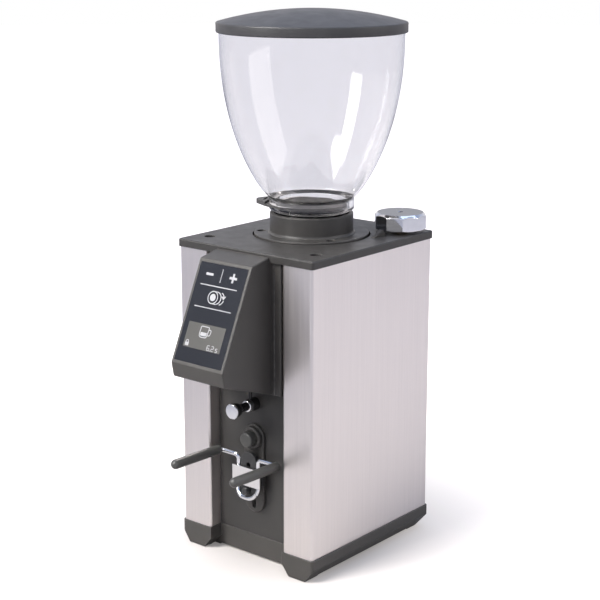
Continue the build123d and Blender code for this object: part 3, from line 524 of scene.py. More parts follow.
@dataclass(frozen=True)
class Coated(Finish):
    """Powder coat or moulded plastic: pebbles, faint mottling, edges lightened partly as rubbed wear and partly as
    a painted highlight, and dust.
    """

    worn_and_glint: Colour = (0.30, 0.29, 0.28)
    pebble: float = 0.5
    depth: float = 0.00003
    wear_and_glint: float = 0.5
    dust: float = 0.04
    dust_colour: Colour = (0.42, 0.40, 0.37)
    specular: float = 0.5
    edge_radius: float = 0.0007

    def dress(self, sketch: Sketch, shader: bpy.types.Node) -> None:
        """Adds grain, edge wear with a painted edge highlight, and dust."""
        grain = place_group(sketch, Effect.GRAIN, size=self.pebble)
        wear_and_glint = place_group(sketch, Effect.WEAR_AND_GLINT, radius=self.edge_radius)
        dust = place_group(sketch, Effect.DUST, amount=self.dust)
        base = sketch.mix(grain.outputs["Mask"], times(0.95, self.colour), times(1.05, self.colour))
        # Lightens the edges: partly rubbed wear, partly a painted highlight along them.
        rubbed_and_glint = sketch.math("MULTIPLY", wear_and_glint.outputs["Mask"], self.wear_and_glint)
        base = sketch.mix(rubbed_and_glint, base, self.worn_and_glint)
        base = sketch.mix(dust.outputs["Mask"], base, self.dust_colour)
        rough = sketch.spread(grain.outputs["Mask"], 0.0, 1.0,
                              self.roughness - 0.04, self.roughness + 0.05)
        normal = self.bumped(sketch, grain.outputs["Height"], self.depth, wear_and_glint.outputs["Normal"])
        self.join(sketch, shader, base_color=base, roughness=rough, normal=normal)
        shader.inputs["Specular IOR Level"].default_value = self.specular


@dataclass(frozen=True)
class Brushed(Finish):
    """Brushed stainless steel with upright marks, faint bands and softly lit edges."""

    fineness: float = 1.0
    contrast: float = 0.10
    band_share: float = 0.12
    depth: float = 0.000012

    def dress(self, sketch: Sketch, shader: bpy.types.Node) -> None:
        """Adds the brushing."""
        brush = place_group(sketch, Effect.BRUSH, fineness=self.fineness)
        wear_and_glint = place_group(sketch, Effect.WEAR_AND_GLINT, radius=0.0005)
        lines, bands = brush.outputs["Lines"], brush.outputs["Bands"]
        tone = sketch.math("ADD", sketch.math("MULTIPLY", lines, 1 - self.band_share),
                           sketch.math("MULTIPLY", bands, self.band_share))
        dark, light = times(1 - self.contrast, self.colour), times(1 + self.contrast, self.colour)
        base = sketch.mix(sketch.spread(tone, 0.3, 0.7), dark, light)
        rough = sketch.spread(tone, 0.25, 0.75, self.roughness - 0.06, self.roughness + 0.07)
        normal = self.bumped(sketch, lines, self.depth, wear_and_glint.outputs["Normal"])
        self.join(sketch, shader, base_color=base, roughness=rough, normal=normal)
        shader.inputs["Metallic"].default_value = 1.0


@dataclass(frozen=True)
class Plated(Finish):
    """Bright plating with faint wiping marks, and a satin top where the piece is faced."""

    satin_above: float = 0.0
    satin: float = 0.34
    satin_colour: Colour = (0.38, 0.38, 0.38)

    def dress(self, sketch: Sketch, shader: bpy.types.Node) -> None:
        """Adds smears, and the satin face when it has one."""
        place = sketch.place()
        smear = sketch.spread(sketch.noise(place, 160.0, 5.0, 0.6), 0.35, 0.7)
        rough = sketch.spread(smear, 0.0, 1.0, self.roughness, self.roughness + 0.05)
        base = sketch.mix(smear, self.colour, times(0.93, self.colour))
        if self.satin_above > 0:
            flat = sketch.spread(sketch.height(sketch.normal()), 0.985, 0.995)
            high = sketch.spread(sketch.height(place), self.satin_above, self.satin_above + 0.0002)
            faced = sketch.math("MULTIPLY", flat, high)
            fine = sketch.noise(place, 2600.0, 2.0)
            satin = sketch.spread(fine, 0.3, 0.7, self.satin - 0.06, self.satin + 0.06)
            rough = sketch.add("Mix", {0: faced, 2: rough, 3: satin}).outputs[0]
            base = sketch.mix(faced, base, self.satin_colour)
        wear_and_glint = place_group(sketch, Effect.WEAR_AND_GLINT, radius=0.0003)
        self.join(sketch, shader, base_color=base, roughness=rough, normal=wear_and_glint.outputs["Normal"])
        shader.inputs["Metallic"].default_value = 1.0


@dataclass(frozen=True)
class Clear(Finish):
    """Clear moulded plastic, faintly smoked, with slow flow waves and a little bean dust."""

    def dress(self, sketch: Sketch, shader: bpy.types.Node) -> None:
        """Adds waves and haze."""
        place = sketch.place()
        wave = sketch.noise(place, 14.0, 1.0)
        haze = sketch.spread(sketch.noise(place, 45.0, 6.0, 0.7), 0.45, 0.8)
        rough = sketch.spread(haze, 0.0, 1.0, self.roughness, self.roughness + 0.06)
        base = sketch.mix(haze, self.colour, times(0.97, self.colour))
        self.join(sketch, shader, base_color=base, roughness=rough,
                  normal=self.bumped(sketch, wave, 0.0004))
        shader.inputs["Transmission Weight"].default_value = 1.0
        shader.inputs["IOR"].default_value = 1.49


@dataclass(frozen=True)
class Gloss(Finish):
    """Printed glass or polished plastic with faint finger marks under a clear coat."""

    def dress(self, sketch: Sketch, shader: bpy.types.Node) -> None:
        """Adds the finger marks."""
        place = sketch.place()
        marks = sketch.spread(sketch.noise(place, 55.0, 5.0, 0.65), 0.5, 0.75)
        rough = sketch.spread(marks, 0.0, 1.0, self.roughness, self.roughness + 0.04)
        base = sketch.mix(marks, self.colour, tuple(c + 0.001 for c in self.colour))
        wear_and_glint = place_group(sketch, Effect.WEAR_AND_GLINT, radius=0.0003)
        self.join(sketch, shader, base_color=base, roughness=rough, normal=wear_and_glint.outputs["Normal"])


@dataclass(frozen=True)
class Lit(Finish):
    """Back-lit print or display, with a fine dot pattern."""

    glow: float = 0.6
    dots: float = 0.0004

    def dress(self, sketch: Sketch, shader: bpy.types.Node) -> None:
        """Adds the dots and the light."""
        place = sketch.place()
        scaled = sketch.add("VectorMath", {0: place, "Scale": 1.0 / self.dots}, operation="SCALE")
        cell = sketch.add("TexVoronoi", {"Vector": scaled.outputs[0], "Scale": 1.0,
                                         "Randomness": 0.0})
        tone = sketch.spread(cell.outputs["Distance"], 0.2, 0.8)
        base = sketch.mix(tone, self.colour, times(0.9, self.colour))
        self.join(sketch, shader, base_color=base, emission_color=base)
        shader.inputs["Emission Strength"].default_value = self.glow


class Finishes:
    """All the finishes of the object, by the record's slots and for the new pieces."""

    coat = Coated("dark_powder_coat", (0.050, 0.0475, 0.044), 0.40, specular=0.4,
                  edge_radius=0.0010)
    # Darker copy of the same powder coat: painted shade on the front panel, top plate and collar.
    shaded_coat = Coated("shaded_powder_coat", (0.035, 0.0335, 0.032), 0.40, specular=0.4,
                       edge_radius=0.0010)
    # The lid's faint blue tint is a painted reflection of the bluish sky.
    lid = Coated("lid_moulding", (0.041, 0.041, 0.043), 0.42, pebble=0.35, depth=0.000012,
                 wear_and_glint=0.3, specular=0.4)
    plastic = Coated("dark_moulding", (0.054, 0.052, 0.050), 0.42, specular=0.4, pebble=0.35,
                     depth=0.000012, wear_and_glint=0.3)
    steel = Brushed("brushed_casing", (0.79, 0.745, 0.73), 0.36, contrast=0.05)
    polished = Brushed("polished_clamp", (0.82, 0.81, 0.80), 0.14, fineness=2.2, contrast=0.03,
                       depth=0.000003)
    chrome = Plated("bright_plating", (0.86, 0.87, 0.89), 0.03)
    knob = Plated("faced_plating", (0.86, 0.87, 0.89), 0.03, satin_above=0.3)
    rubber = Coated("soft_rubber", (0.024, 0.0235, 0.022), 0.42, pebble=0.25, depth=0.00001,
                    wear_and_glint=0.2, dust=0.15)
    clear = Clear("clear_hopper", (0.975, 0.972, 0.972), 0.02)
    glass = Gloss("printed_glass", (0.013, 0.0145, 0.019), 0.10)
    gloss_black = Gloss("gloss_switch", (0.015, 0.015, 0.016), 0.18)
    marks = Lit("white_print", (0.30, 0.30, 0.31), 0.5, glow=0.3)
    display = Lit("display_grey", (0.032, 0.031, 0.028), 0.35, glow=0.45, dots=0.0003)
    black_steel = Coated("black_oxide", (0.022, 0.022, 0.023), 0.42, pebble=0.3, depth=0.000006,
                         wear_and_glint=0.6)
    machined = Brushed("machined_steel", (0.56, 0.56, 0.57), 0.30, contrast=0.06)
    laminated = Brushed("laminated_steel", (0.30, 0.30, 0.31), 0.45, contrast=0.12)
    cast = Coated("cast_aluminium", (0.48, 0.48, 0.49), 0.55, worn_and_glint=(0.7, 0.7, 0.7), pebble=0.8)
    bronze = Brushed("bearing_bronze", (0.70, 0.50, 0.26), 0.32, contrast=0.05)
    board = Coated("circuit_board", (0.02, 0.12, 0.05), 0.45, worn_and_glint=(0.4, 0.35, 0.2), pebble=0.9)

    by_slot = {"casing_steel": steel, "dark_coat": coat, "dark_plastic": plastic,
               "soft_rubber": rubber, "bright_chrome": chrome, "polished_steel": polished,
               "clear_plastic": clear, "panel_glass": glass, "black_steel": black_steel,
               "machined_steel": machined, "laminated_steel": laminated, "cast_aluminium": cast,
               "bearing_bronze": bronze, "circuit_board": board, "switch_plastic": gloss_black}
    # The front panel, top plate, collar and neck take the darker coat copy, which is painted shade.
    by_node = {"front_panel": shaded_coat, "top_plate": shaded_coat, "adjust_collar": shaded_coat,
               "collar_neck": shaded_coat, "plunger_barrel": gloss_black}

    @classmethod
    def dress_frame(cls) -> None:
        """Gives every node of the frame its own finish, or the finish of its slot."""
        for part in frame["record"]["subparts"]:
            node = frame["nodes"][part["node"]]
            if not node.material_slots:
                node.data.materials.append(None)
            finish = cls.by_node.get(part["node"], cls.by_slot[part["material_slot"]])
            for place in node.material_slots:
                place.material = finish.material()
        LOG.info("finishes on %d nodes", len(frame["nodes"]))


# ------------------------------------------------------------------ hopper, gate and lid
@dataclass
class Hopper:
    """Clear bell-shaped hopper with a gate ring, a slit for the gate, and a neck."""

    wall: float = 2.6
    mouth_r: float = 94.0
    foot_r: float = 45.0
    bell_rise: float = 2.2
    bell_round: float = 0.85
    turns: int = 192
    slit_half: float = 58.125
    slit_half_inside: float = 80.0
    bowl_rows: int = 72
    gate_thick: float = 2.4

    def bell(self, share: Array) -> Array:
        """Outer radius at a share of the bowl's height: a quarter of a stretched, rounded arch."""
        arch = 1 - (1 - share) ** self.bell_rise
        return self.foot_r + (self.mouth_r - self.foot_r) * arch ** self.bell_round

    def profile(self) -> tuple[Array, Array, tuple[int, int]]:
        """Closed outline from the rim down the outside and up the inside.

        Returns:
            The (r, z) rows, how far each row is untwisted towards the inner slit, and the rows of
            the slit's upper outer and lower inner edges.
        """
        low, high = box_mm("hopper_bowl")
        gate_low = box_mm("gate_slide")[0][2]
        gate_high = float(vertices_mm("gate_slide")[:, 2].min()) + self.gate_thick
        bottom, top = low[2], high[2]
        foot = bottom + 31.7
        share = np.linspace(1, 0, self.bowl_rows)
        height = foot + (top - 5 - foot) * share
        outside = np.stack([self.bell(share), height], 1)
        ring = rounded([outside[-1], (44.0, bottom + 30.1), (44.0, gate_high + 0.5)],
                       [0, 1.2, 0], 4)
        ring_low = rounded([(44.0, gate_low - 0.4), (44.0, bottom + 18.6), (37.7, bottom + 16.7),
                            (37.7, bottom + 4), (39.2, bottom + 3), (39.2, bottom), (35.0, bottom)],
                           [0, 1.0, 0.8, 0.6, 0.5, 0.4, 0.4], 4)
        neck = np.stack([np.full(18, 35.0), np.linspace(bottom + 0.6, bottom + 17.6, 18)], 1)
        pocket = rounded([(35.0, bottom + 18.1), (37.4, bottom + 18.7), (37.4, gate_low - 0.4)],
                         [0, 0.5, 0], 3)
        pocket_up = rounded([(37.4, gate_high + 0.5), (37.4, bottom + 28.2),
                             (self.foot_r - self.wall, foot)], [0, 1.0, 0], 4)
        inside = np.stack([self.bell(share[::-1]) - self.wall, height[::-1]], 1)[1:]
        rim = rounded([inside[-1], (self.mouth_r - self.wall, top), (self.mouth_r, top),
                       outside[0]],
                      [0, 0.9, 0.9, 0], 5)[1:-1]
        rows = [outside[:-1], ring, ring_low, neck, pocket, pocket_up, inside, rim]
        twist = [np.zeros(len(outside) - 1 + len(ring) + len(ring_low)), np.linspace(0, 1, 18),
                 np.ones(len(pocket) + len(pocket_up)),
                 np.clip(np.linspace(1, -0.4, len(inside)), 0, 1), np.zeros(len(rim))]
        upper_outer = len(outside) - 1 + len(ring) - 1
        lower_inner = upper_outer + 1 + len(ring_low) + len(neck) + len(pocket) - 1
        return np.vstack(rows), np.concatenate(twist), (upper_outer, lower_inner)

    def surface(self) -> Surface:
        """The outline carried round the axis, with the slit's cells taken out and its walls added.

        The slit's columns spread out on the inner wall, so its ends run square to the gate.
        """
        outline, twist, (outer, inner) = self.profile()
        direction = joint("gate_pull")["axis"]
        centre = math.atan2(direction[1], direction[0])
        angle = np.linspace(-180, 180, self.turns, endpoint=False)[None, :]
        grow = self.slit_half_inside / self.slit_half
        outside_share = (np.abs(angle) - self.slit_half) / (180 - self.slit_half)
        spread = np.where(np.abs(angle) <= self.slit_half, angle * grow,
                          np.sign(angle) * (self.slit_half_inside
                                            + outside_share * (180 - self.slit_half_inside)))
        turned = np.radians(angle + (spread - angle) * twist[:, None]) + centre
        points = np.stack([outline[:, :1] * np.cos(turned), outline[:, :1] * np.sin(turned),
                           outline[:, 1:] + 0 * turned], -1).reshape(-1, 3)
        faces = grid_faces(len(outline), self.turns, True, True)
        first = int(np.argmin(np.abs(angle + self.slit_half)))
        last = int(np.argmin(np.abs(angle - self.slit_half)))
        cut = {row * self.turns + column for row in (outer, inner) for column in range(first, last)}
        faces = [face for number, face in enumerate(faces) if number not in cut]

        def at(row: int, column: int) -> int:
            """Number of a point."""
            return row * self.turns + column

        for column in range(first, last):
            faces.append((at(outer, column), at(outer, column + 1),
                          at(inner + 1, column + 1), at(inner + 1, column)))
            faces.append((at(outer + 1, column + 1), at(outer + 1, column),
                          at(inner, column), at(inner, column + 1)))
        for column in (first, last):
            faces.append((at(outer, column), at(outer + 1, column),
                          at(inner, column), at(inner + 1, column)))
        return Surface(points, faces).on_joint("collar_turn")

    def build(self) -> None:
        """Makes the hopper."""
        make_piece("hopper_shell", self.surface(), "hopper_unit", Finishes.clear,
                   ("hopper_bowl",), 40)


@dataclass
class Lid:
    """Shallow domed lid with a soft-edged rim and a plug ring below."""

    rim_r: float = 97.0
    plug_out: float = 90.6
    plug_in: float = 88.0
    groove_out: float = 94.6
    groove_deep: float = 4.7
    skin: float = 2.6
    rim_high: float = 10.7

    def surface(self) -> Surface:
        """Closed outline turned about the axis: a shallow sphere, a round rim, two walls below."""
        low, high = box_mm("lid")
        bottom, top = low[2], high[2]
        rise = top - bottom - self.rim_high
        ball = (rise ** 2 + (self.rim_r - 2) ** 2) / (2 * rise)
        radius = np.linspace(0, self.rim_r - 2.6, 40)
        dome = np.stack([radius, top - ball + np.sqrt(ball ** 2 - radius ** 2)], 1)
        edge = top - ball + math.sqrt(ball ** 2 - self.rim_r ** 2)
        groove = bottom + self.groove_deep
        rim = rounded([dome[-1], (self.rim_r, edge), (self.rim_r, bottom),
                       (self.groove_out, bottom), (self.groove_out, groove),
                       (self.plug_out, groove), (self.plug_out, bottom), (self.plug_in, bottom)],
                      [0, 3.0, 1.4, 0.4, 0.3, 0.3, 0.4, 0.4], 6)
        radius = np.linspace(self.plug_in, 0, 30)
        inside = np.stack([radius, top - self.skin - ball + np.sqrt(ball ** 2 - radius ** 2)], 1)
        return lathe(np.vstack([dome, rim[1:], inside]), 180).on_joint("collar_turn")

    def build(self) -> None:
        """Makes the lid."""
        make_piece("hopper_lid", self.surface(), "lid_unit", Finishes.lid,
                   ("lid",), 50)


# ------------------------------------------------------------------ knob
@dataclass
class Knob:
    """Ten-sided knob: flat sides cut by a turned bevel, softened where they meet, and a socket."""

    sides: int = 10
    corner_r: float = 27.5
    softness: float = 0.22
    socket_r: float = 2.9
    socket_deep: float = 4.0
    flat_within: float = 12.0
    first_corner: float = math.radians(-13)

    def surface(self) -> Surface:
        """Radius at each angle and height: the softened lesser of the prism and the bevel."""
        low, high = box_mm("adjust_knob")
        bottom, top = low[2], high[2]
        outer = rounded([(6.0, bottom), (self.corner_r - 1.6, bottom),
                         (self.corner_r + 1, bottom + 1.5),
                         (self.corner_r + 1, top - 4.0), (self.corner_r - 3.4, top), (4.4, top)],
                        [0, 0.4, 0.2, 0.2, 0.5, 0], 6)
        outer = np.vstack([np.linspace(a, b, 7)[:-1] for a, b in zip(outer, outer[1:])]
                          + [outer[-1:]])
        angle = np.linspace(0, 2 * math.pi, 360, endpoint=False)
        wedge = 2 * math.pi / self.sides
        within = (angle - self.first_corner + wedge / 2) % wedge - wedge / 2
        prism = self.corner_r * math.cos(wedge / 2) / np.cos(np.abs(within) - wedge / 2)
        cone = outer[:, :1]
        lesser = np.minimum(cone, prism)
        gap = np.abs(cone - prism) / self.softness
        radius = lesser - self.softness * np.log1p(np.exp(-gap)) * (cone > self.flat_within)
        hexagon = (angle % (math.pi / 3)) - math.pi / 6
        socket = self.socket_r * math.cos(math.pi / 6) / np.cos(hexagon)
        inner_scale = np.array([1.12, 1.0, 1.0, 0.0])[:, None]
        floor = top - self.socket_deep
        inner_height = np.array([top, top - 0.35, floor, floor])[:, None]
        radius = np.vstack([0 * angle[None], radius, socket[None] * inner_scale])
        height = np.vstack([[[bottom]], outer[:, 1:], inner_height])
        points = np.stack([radius * np.cos(angle), radius * np.sin(angle), height + 0 * radius], -1)
        faces = grid_faces(len(height), len(angle), False, True)
        return Surface(points.reshape(-1, 3), faces).on_joint("knob_turn")

    def build(self) -> None:
        """Makes the knob."""
        make_piece("ten_sided_knob", self.surface(), "knob_unit", Finishes.knob,
                   ("adjust_knob",), 14)


# ------------------------------------------------------------------ fork
@dataclass
class Fork:
    """Filter-holder fork: a bent wire with soft sleeves, in front of its bracket."""

    wire_r: float = 2.5
    sleeve_r: float = 5.0
    loop_x: float = 13.2
    arm_x: float = 39.7
    arm_inside: float = 54.0
    straight: float = 63.4
    tilt: float = math.radians(1.5)

    def points(self) -> tuple[Array, Array, Array]:
        """Sleeve root, bend corner and loop corner on the right side, from the frame's boxes."""
        wire_low, wire_high = box_mm("fork_wire")
        sleeve_low, sleeve_high = box_mm("fork_sleeves")
        plate_back = box_mm("fork_clamp_plate")[1][1]
        wire_y = plate_back + self.wire_r
        loop_z = wire_low[2] + self.wire_r
        arm_z = sleeve_low[2] + self.sleeve_r * math.cos(self.tilt)
        bend = np.array([self.arm_x, wire_y, arm_z - 0.05])
        root = np.array([self.arm_x, sleeve_high[1] - self.sleeve_r * math.sin(self.tilt), arm_z])
        loop = np.array([self.loop_x, wire_y - 4.8, loop_z])
        return root, bend, loop

    def wire(self) -> Surface:
        """Round wire along straight runs joined by arcs: arm, cross-piece, leg, loop, and back."""
        root, bend, loop = self.points()
        ahead = np.array([0, -math.cos(self.tilt), math.sin(self.tilt)])
        tip = root + ahead * self.arm_inside
        half = [tip, bend, np.array([self.loop_x, bend[1], bend[2]]),
                np.array([self.loop_x, bend[1], loop[2] + 11.5]), loop]
        other = [p * (-1, 1, 1) for p in reversed(half)]
        path = rounded(half + other, [0, 5, 5, 6, 11, 11, 6, 5, 5, 0], 14, False, 0.9)
        keep = np.r_[True, np.linalg.norm(np.diff(path, axis=0), axis=1) > 1e-6]
        path = path[keep]
        radius = np.concatenate([[0.0], np.full(len(path), self.wire_r), [0.0]])
        end_cap = 1e-3 * ahead
        path = np.vstack([path[:1], path[:1] - end_cap, path[1:-1], path[-1:] - end_cap, path[-1:]])
        return tube(path, radius, 32)

    def sleeve(self, side: int) -> Surface:
        """Turned sleeve: chamfered mouth, straight bar, half-round tip and the wire's bore."""
        root = self.points()[0]
        tip = np.radians(np.linspace(0, 90, 14))
        round_tip = np.stack([self.sleeve_r * np.cos(tip),
                              self.straight + self.sleeve_r * np.sin(tip)], 1)
        mouth = rounded([(self.wire_r, 3.4), (self.wire_r + 1.2, 3.4), (self.wire_r + 1.2, 0),
                         (self.sleeve_r, 0), (self.sleeve_r, 4)], [0, 0.3, 0.4, 0.9, 0], 5)
        bore_end = self.arm_inside + 0.2
        bore = np.array([(0, bore_end), (self.wire_r, bore_end)])
        spans = np.stack([np.full(8, self.sleeve_r), np.linspace(4, self.straight, 8)], 1)[1:-1]
        profile = np.vstack([bore, mouth, spans, round_tip])
        cosine, sine = math.cos(self.tilt), math.sin(self.tilt)
        turn = np.array([[1, 0, 0], [0, -sine, -cosine], [0, -cosine, sine]]) * (1, -1, 1)
        return lathe(profile, 64).placed(turn, root * (side, 1, 1))

    def build(self) -> None:
        """Makes the wire and both sleeves."""
        make_piece("bent_wire", self.wire(), "fork_unit", Finishes.chrome,
                   ("fork_wire",), 60)
        both = self.sleeve(-1).joined(self.sleeve(1))
        make_piece("soft_sleeves", both, "fork_unit", Finishes.rubber,
                   ("fork_sleeves",), 40)


# ------------------------------------------------------------------ button and plunger
@dataclass
class FrontControls:
    """Start button with its domed ring, and the plated plunger below the head."""

    button_r: float = 7.8
    bore_r: float = 8.1
    ring_r: float = 11.8

    def reach(self, node: str) -> tuple[float, float]:
        """Distances of a node's front and back faces in front of Y=0."""
        low, high = box_mm(node)
        return -low[1], -high[1]

    def turned(self, name: str, node: str, profile: Array, body: str, slot: str, finish: Finish,
               sharp: float = 45) -> None:
        """Makes a piece in a node's place, turned about the node's front-to-back axis.

        Args:
            name: the piece's name.
            node: the node that it replaces.
            profile: rows of radius and distance in front of Y=0.
            body: the body it moves with.
            slot: the record's material slot; not used.
            finish: what it is made of.
            sharp: edges that turn more than this many degrees stay crisp.
        """
        low, high = box_mm(node)
        centre = (low + high) / 2
        surface = lathe(profile, 96).placed(FACING_FRONT, (centre[0], 0, centre[2]))
        make_piece(name, surface, body, finish, (node,), sharp)

    def button(self) -> None:
        """Crowned button with a round edge."""
        front, back = self.reach("start_button")
        flank = rounded([(0, back), (2.2, back), (2.2, front - 11.4),
                         (self.button_r, front - 11.4), (self.button_r, front - 0.8)],
                        [0, 0.3, 0, 0.5, 0], 4)
        share = np.linspace(0, 1, 14)
        face_r = self.button_r - 2.2
        edge = np.stack([self.button_r - 2.2 * (1 - np.cos(share * math.pi / 2)),
                         front - 2.6 + 2.1 * np.sin(share * math.pi / 2)], 1)
        radius = np.linspace(face_r, 0, 12)
        crown = np.stack([radius, front - 0.5 * (radius / face_r) ** 2], 1)
        self.turned("push_button", "start_button", np.vstack([flank[:-1], edge, crown]),
                    "button_unit", "soft_rubber", Finishes.rubber, 40)

    def domed_ring(self) -> None:
        """Ring round the button whose front rounds over to the bore."""
        front, back = self.reach("button_housing")
        profile = rounded([(self.bore_r, back), (self.ring_r, back), (self.ring_r, front),
                           (self.bore_r, front)], [0, 0.2, 3.4, 0.5], 12, True)
        self.turned("button_ring", "button_housing", np.vstack([profile, profile[:1]]), "chassis",
                    "dark_coat", Finishes.coat, 50)

    def plunger(self) -> None:
        """Waisted grip and plated cap, and the plated ring on the barrel."""
        front, back = self.reach("plunger_grip")
        grip = rounded([(0, back), (3.0, back), (3.0, front - 18.7), (4.6, front - 18.7),
                        (4.3, front - 15.7), (4.3, front - 9.7), (6.4, front - 6.7),
                        (7.4, front - 3.2), (7.4, front), (0, front)],
                       [0, 0.5, 0.2, 0.4, 1.5, 1.5, 2.5, 1.5, 0.6, 0], 6)
        self.turned("plunger_waist", "plunger_grip", grip, "plunger_unit", "dark_plastic",
                    Finishes.gloss_black)
        front, back = self.reach("plunger_cap")
        cap = rounded([(0, back), (8.0, back), (8.0, front - 0.3), (0, front)], [0, 0.9, 1.1, 0], 8)
        self.turned("plunger_button", "plunger_cap", cap, "plunger_unit", "bright_chrome",
                    Finishes.chrome)
        front, back = self.reach("plunger_ring")
        ring = rounded([(3.05, back), (6.1, back), (6.1, front), (3.05, front)],
                       [0, 0.5, 1.2, 0.3], 8, True)
        self.turned("plunger_collar", "plunger_ring", np.vstack([ring, ring[:1]]), "chassis",
                    "bright_chrome", Finishes.chrome)

    def build(self) -> None:
        """Makes the controls."""
        self.button()
        self.domed_ring()
        self.plunger()


# ------------------------------------------------------------------ control panel
@dataclass
class ControlPanel:
    """Marks and display on the sloping glass, in millimetres across and up from its middle."""

    lift: float = 0.02
    thick: float = 0.06
    stroke: float = 0.9
    display: tuple[float, float, float, float] = (-25.0, 23.4, -35.3, -10.0)

    def glass_frame(self) -> tuple[Array, Array]:
        """Turning matrix and middle of the glass's outer face, from its upper and lower edges."""
        corners = vertices_mm("touch_glass")
        top = corners[np.argmax(corners[:, 2])] * (0, 1, 1)
        foot = corners[np.argmin(corners[:, 1])] * (0, 1, 1)
        up = (top - foot) / np.linalg.norm(top - foot)
        across = np.array([1.0, 0, 0])
        return np.stack([across, up, np.cross(across, up)], 1), (top + foot) / 2

    def plate(self, outline: Array, level: int = 0) -> Surface:
        """Thin raised shape at a level above the glass."""
        low = self.lift + level * self.thick
        return slab(outline, low, low + self.thick)

    def line(self, points: Array, width: float | None = None, level: int = 0) -> Surface:
        """Thin raised stroke at a level above the glass."""
        low = self.lift + level * self.thick
        return ribbon(points, width or self.stroke, low, low + self.thick)

    def keypad(self) -> list:
        """Minus, divider, plus, two rules, and discs with a turning arrow."""
        minus_x, plus_x, row, arm, bar = -15.7, 15.0, 38.9, 4.7, 1.2
        disc_x, disc_y, disc_r = -3.9, 16.9, 6.1
        plus = [(-bar, -arm), (bar, -arm), (bar, -bar), (arm, -bar), (arm, bar), (bar, bar),
                (bar, arm), (-bar, arm), (-bar, bar), (-arm, bar), (-arm, -bar), (-bar, -bar)]
        shapes = [self.plate(rectangle(minus_x - arm, minus_x + arm, row - bar, row + bar)),
                  self.line(line_between(-0.3, 32.4, -0.3, 45.9), 0.7),
                  self.plate(np.array(plus) + (plus_x, row))]
        shapes += [self.line(line_between(-24.3, level, 23.5, level)) for level in (28.0, 5.8)]
        shapes.append(self.plate(arc_line(disc_x, disc_y, 3.6, 0, 355, 48)))
        for shift, start, end in ((0, 0, 359.9), (4.4, -72, 72), (8.4, -75, -12), (8.4, 24, 75)):
            ring = arc_line(disc_x + shift, disc_y, disc_r, start, end, 60)
            shapes.append(self.line(ring, 1.0))
        tip_x, tip_y = disc_x + 8.4 + disc_r - 0.6, disc_y - 0.6
        shapes.append(self.plate(np.array([(tip_x, tip_y), (tip_x + 2.6, tip_y + 4.0),
                                           (tip_x - 3.4, tip_y + 3.2)])))
        for end in (-1, 1):
            rail_y = disc_y + end * disc_r
            shapes.append(self.line(line_between(disc_x + 0.4, rail_y, disc_x + 6.0, rail_y)))
        return shapes

    def cup(self) -> list:
        """Cup with a handle, half full."""
        left, right, top, foot = -8.2, 3.0, -12.4, -23.2
        wall = rounded([(left, foot), (right - 1.2, foot), (right, top), (left + 0.6, top)],
                       [2.6, 2.6, 1.2, 1.2], 6, True)
        handle = rounded([(right - 0.6, top - 2.6), (right + 3.2, top - 2.2),
                          (right + 2.4, top - 8.2), (right - 1.2, top - 8.2)], [0, 2.0, 2.0, 0], 6)
        fill = rounded([(left + 1.3, foot + 1.3), (right - 2.4, foot + 1.3), (right - 1.8, -18.2),
                        (left + 1.5, -18.2)], [1.8, 1.8, 0.3, 0.3], 5, True)
        return [self.line(np.vstack([wall, wall[:2]]), level=1), self.line(handle, level=1),
                self.plate(fill, 1)]

    def padlock(self) -> list:
        """Small padlock."""
        x, y = -20.6, -32.4
        return [self.plate(rectangle(x - 2.3, x + 2.3, y - 1.6, y + 1.8, 0.4), 1),
                self.line(np.vstack([[(x - 1.5, y + 1.7)], arc_line(x, y + 2.6, 1.5, 180, 0, 14),
                                     [(x + 1.5, y + 1.7)]]), 0.7, 1)]

    def readout(self) -> list:
        """Time in seconds: two figures with a point, and the unit."""
        low, high, width, six_x, two_x, unit_x = -34.4, -29.6, 3.0, 6.2, 11.8, 17.2
        middle = (low + high) / 2
        six = [(six_x + width, high), (six_x, high), (six_x, low), (six_x + width, low),
               (six_x + width, middle), (six_x, middle)]
        two = [(two_x, high), (two_x + width, high), (two_x + width, middle), (two_x, middle),
               (two_x, low), (two_x + width, low)]
        unit_end, unit_high = unit_x + 2.4, low + 3.4
        unit_mid = (low + unit_high) / 2
        unit = [(unit_end, unit_high), (unit_x, unit_high), (unit_x, unit_mid),
                (unit_end, unit_mid), (unit_end, low), (unit_x, low)]
        figures = [self.line(rounded(points, [0, 0.9, 0.9, 0.9, 0.9, 0], 4), 0.6, 1)
                   for points in (six, two, unit)]
        return figures + [self.plate(arc_line(10.5, low, 0.5, 0, 330, 12), 1)]

    def build(self) -> None:
        """Makes the display window and the marks."""
        turn, middle = self.glass_frame()
        x0, x1, y0, y1 = self.display
        window = self.plate(rectangle(x0, x1, y0, y1, 0.3)).placed(turn, middle)
        make_piece("display_window", window, "chassis", Finishes.display, sharp=20)
        shapes = self.keypad() + self.cup() + self.padlock() + self.readout()
        marks = shapes[0]
        for shape in shapes[1:]:
            marks = marks.joined(shape)
        make_piece("panel_marks", marks.placed(turn, middle), "chassis",
                   Finishes.marks, sharp=20)


# ------------------------------------------------------------------ stage
@dataclass(frozen=True)
class Lamp:
    """Rectangular area light: place and aim in metres, power in watts, fan of light in degrees."""

    name: str
    place: tuple[float, float, float]
    aim: tuple[float, float, float]
    size: tuple[float, float]
    power: float
    tint: Colour
    fan: float = 180

    def build(self) -> None:
        """Adds the light."""
        data = bpy.data.lights.new(self.name, "AREA")
        data.shape, data.energy, data.color = "RECTANGLE", self.power, self.tint
        data.size, data.size_y = self.size
        data.spread = math.radians(self.fan)
        lamp = bpy.data.objects.new(self.name, data)
        lamp.location = self.place
        toward = Vector(self.aim) - Vector(self.place)
        lamp.rotation_mode = "QUATERNION"
        lamp.rotation_quaternion = toward.to_track_quat("-Z", "Y")
        bpy.context.scene.collection.objects.link(lamp)


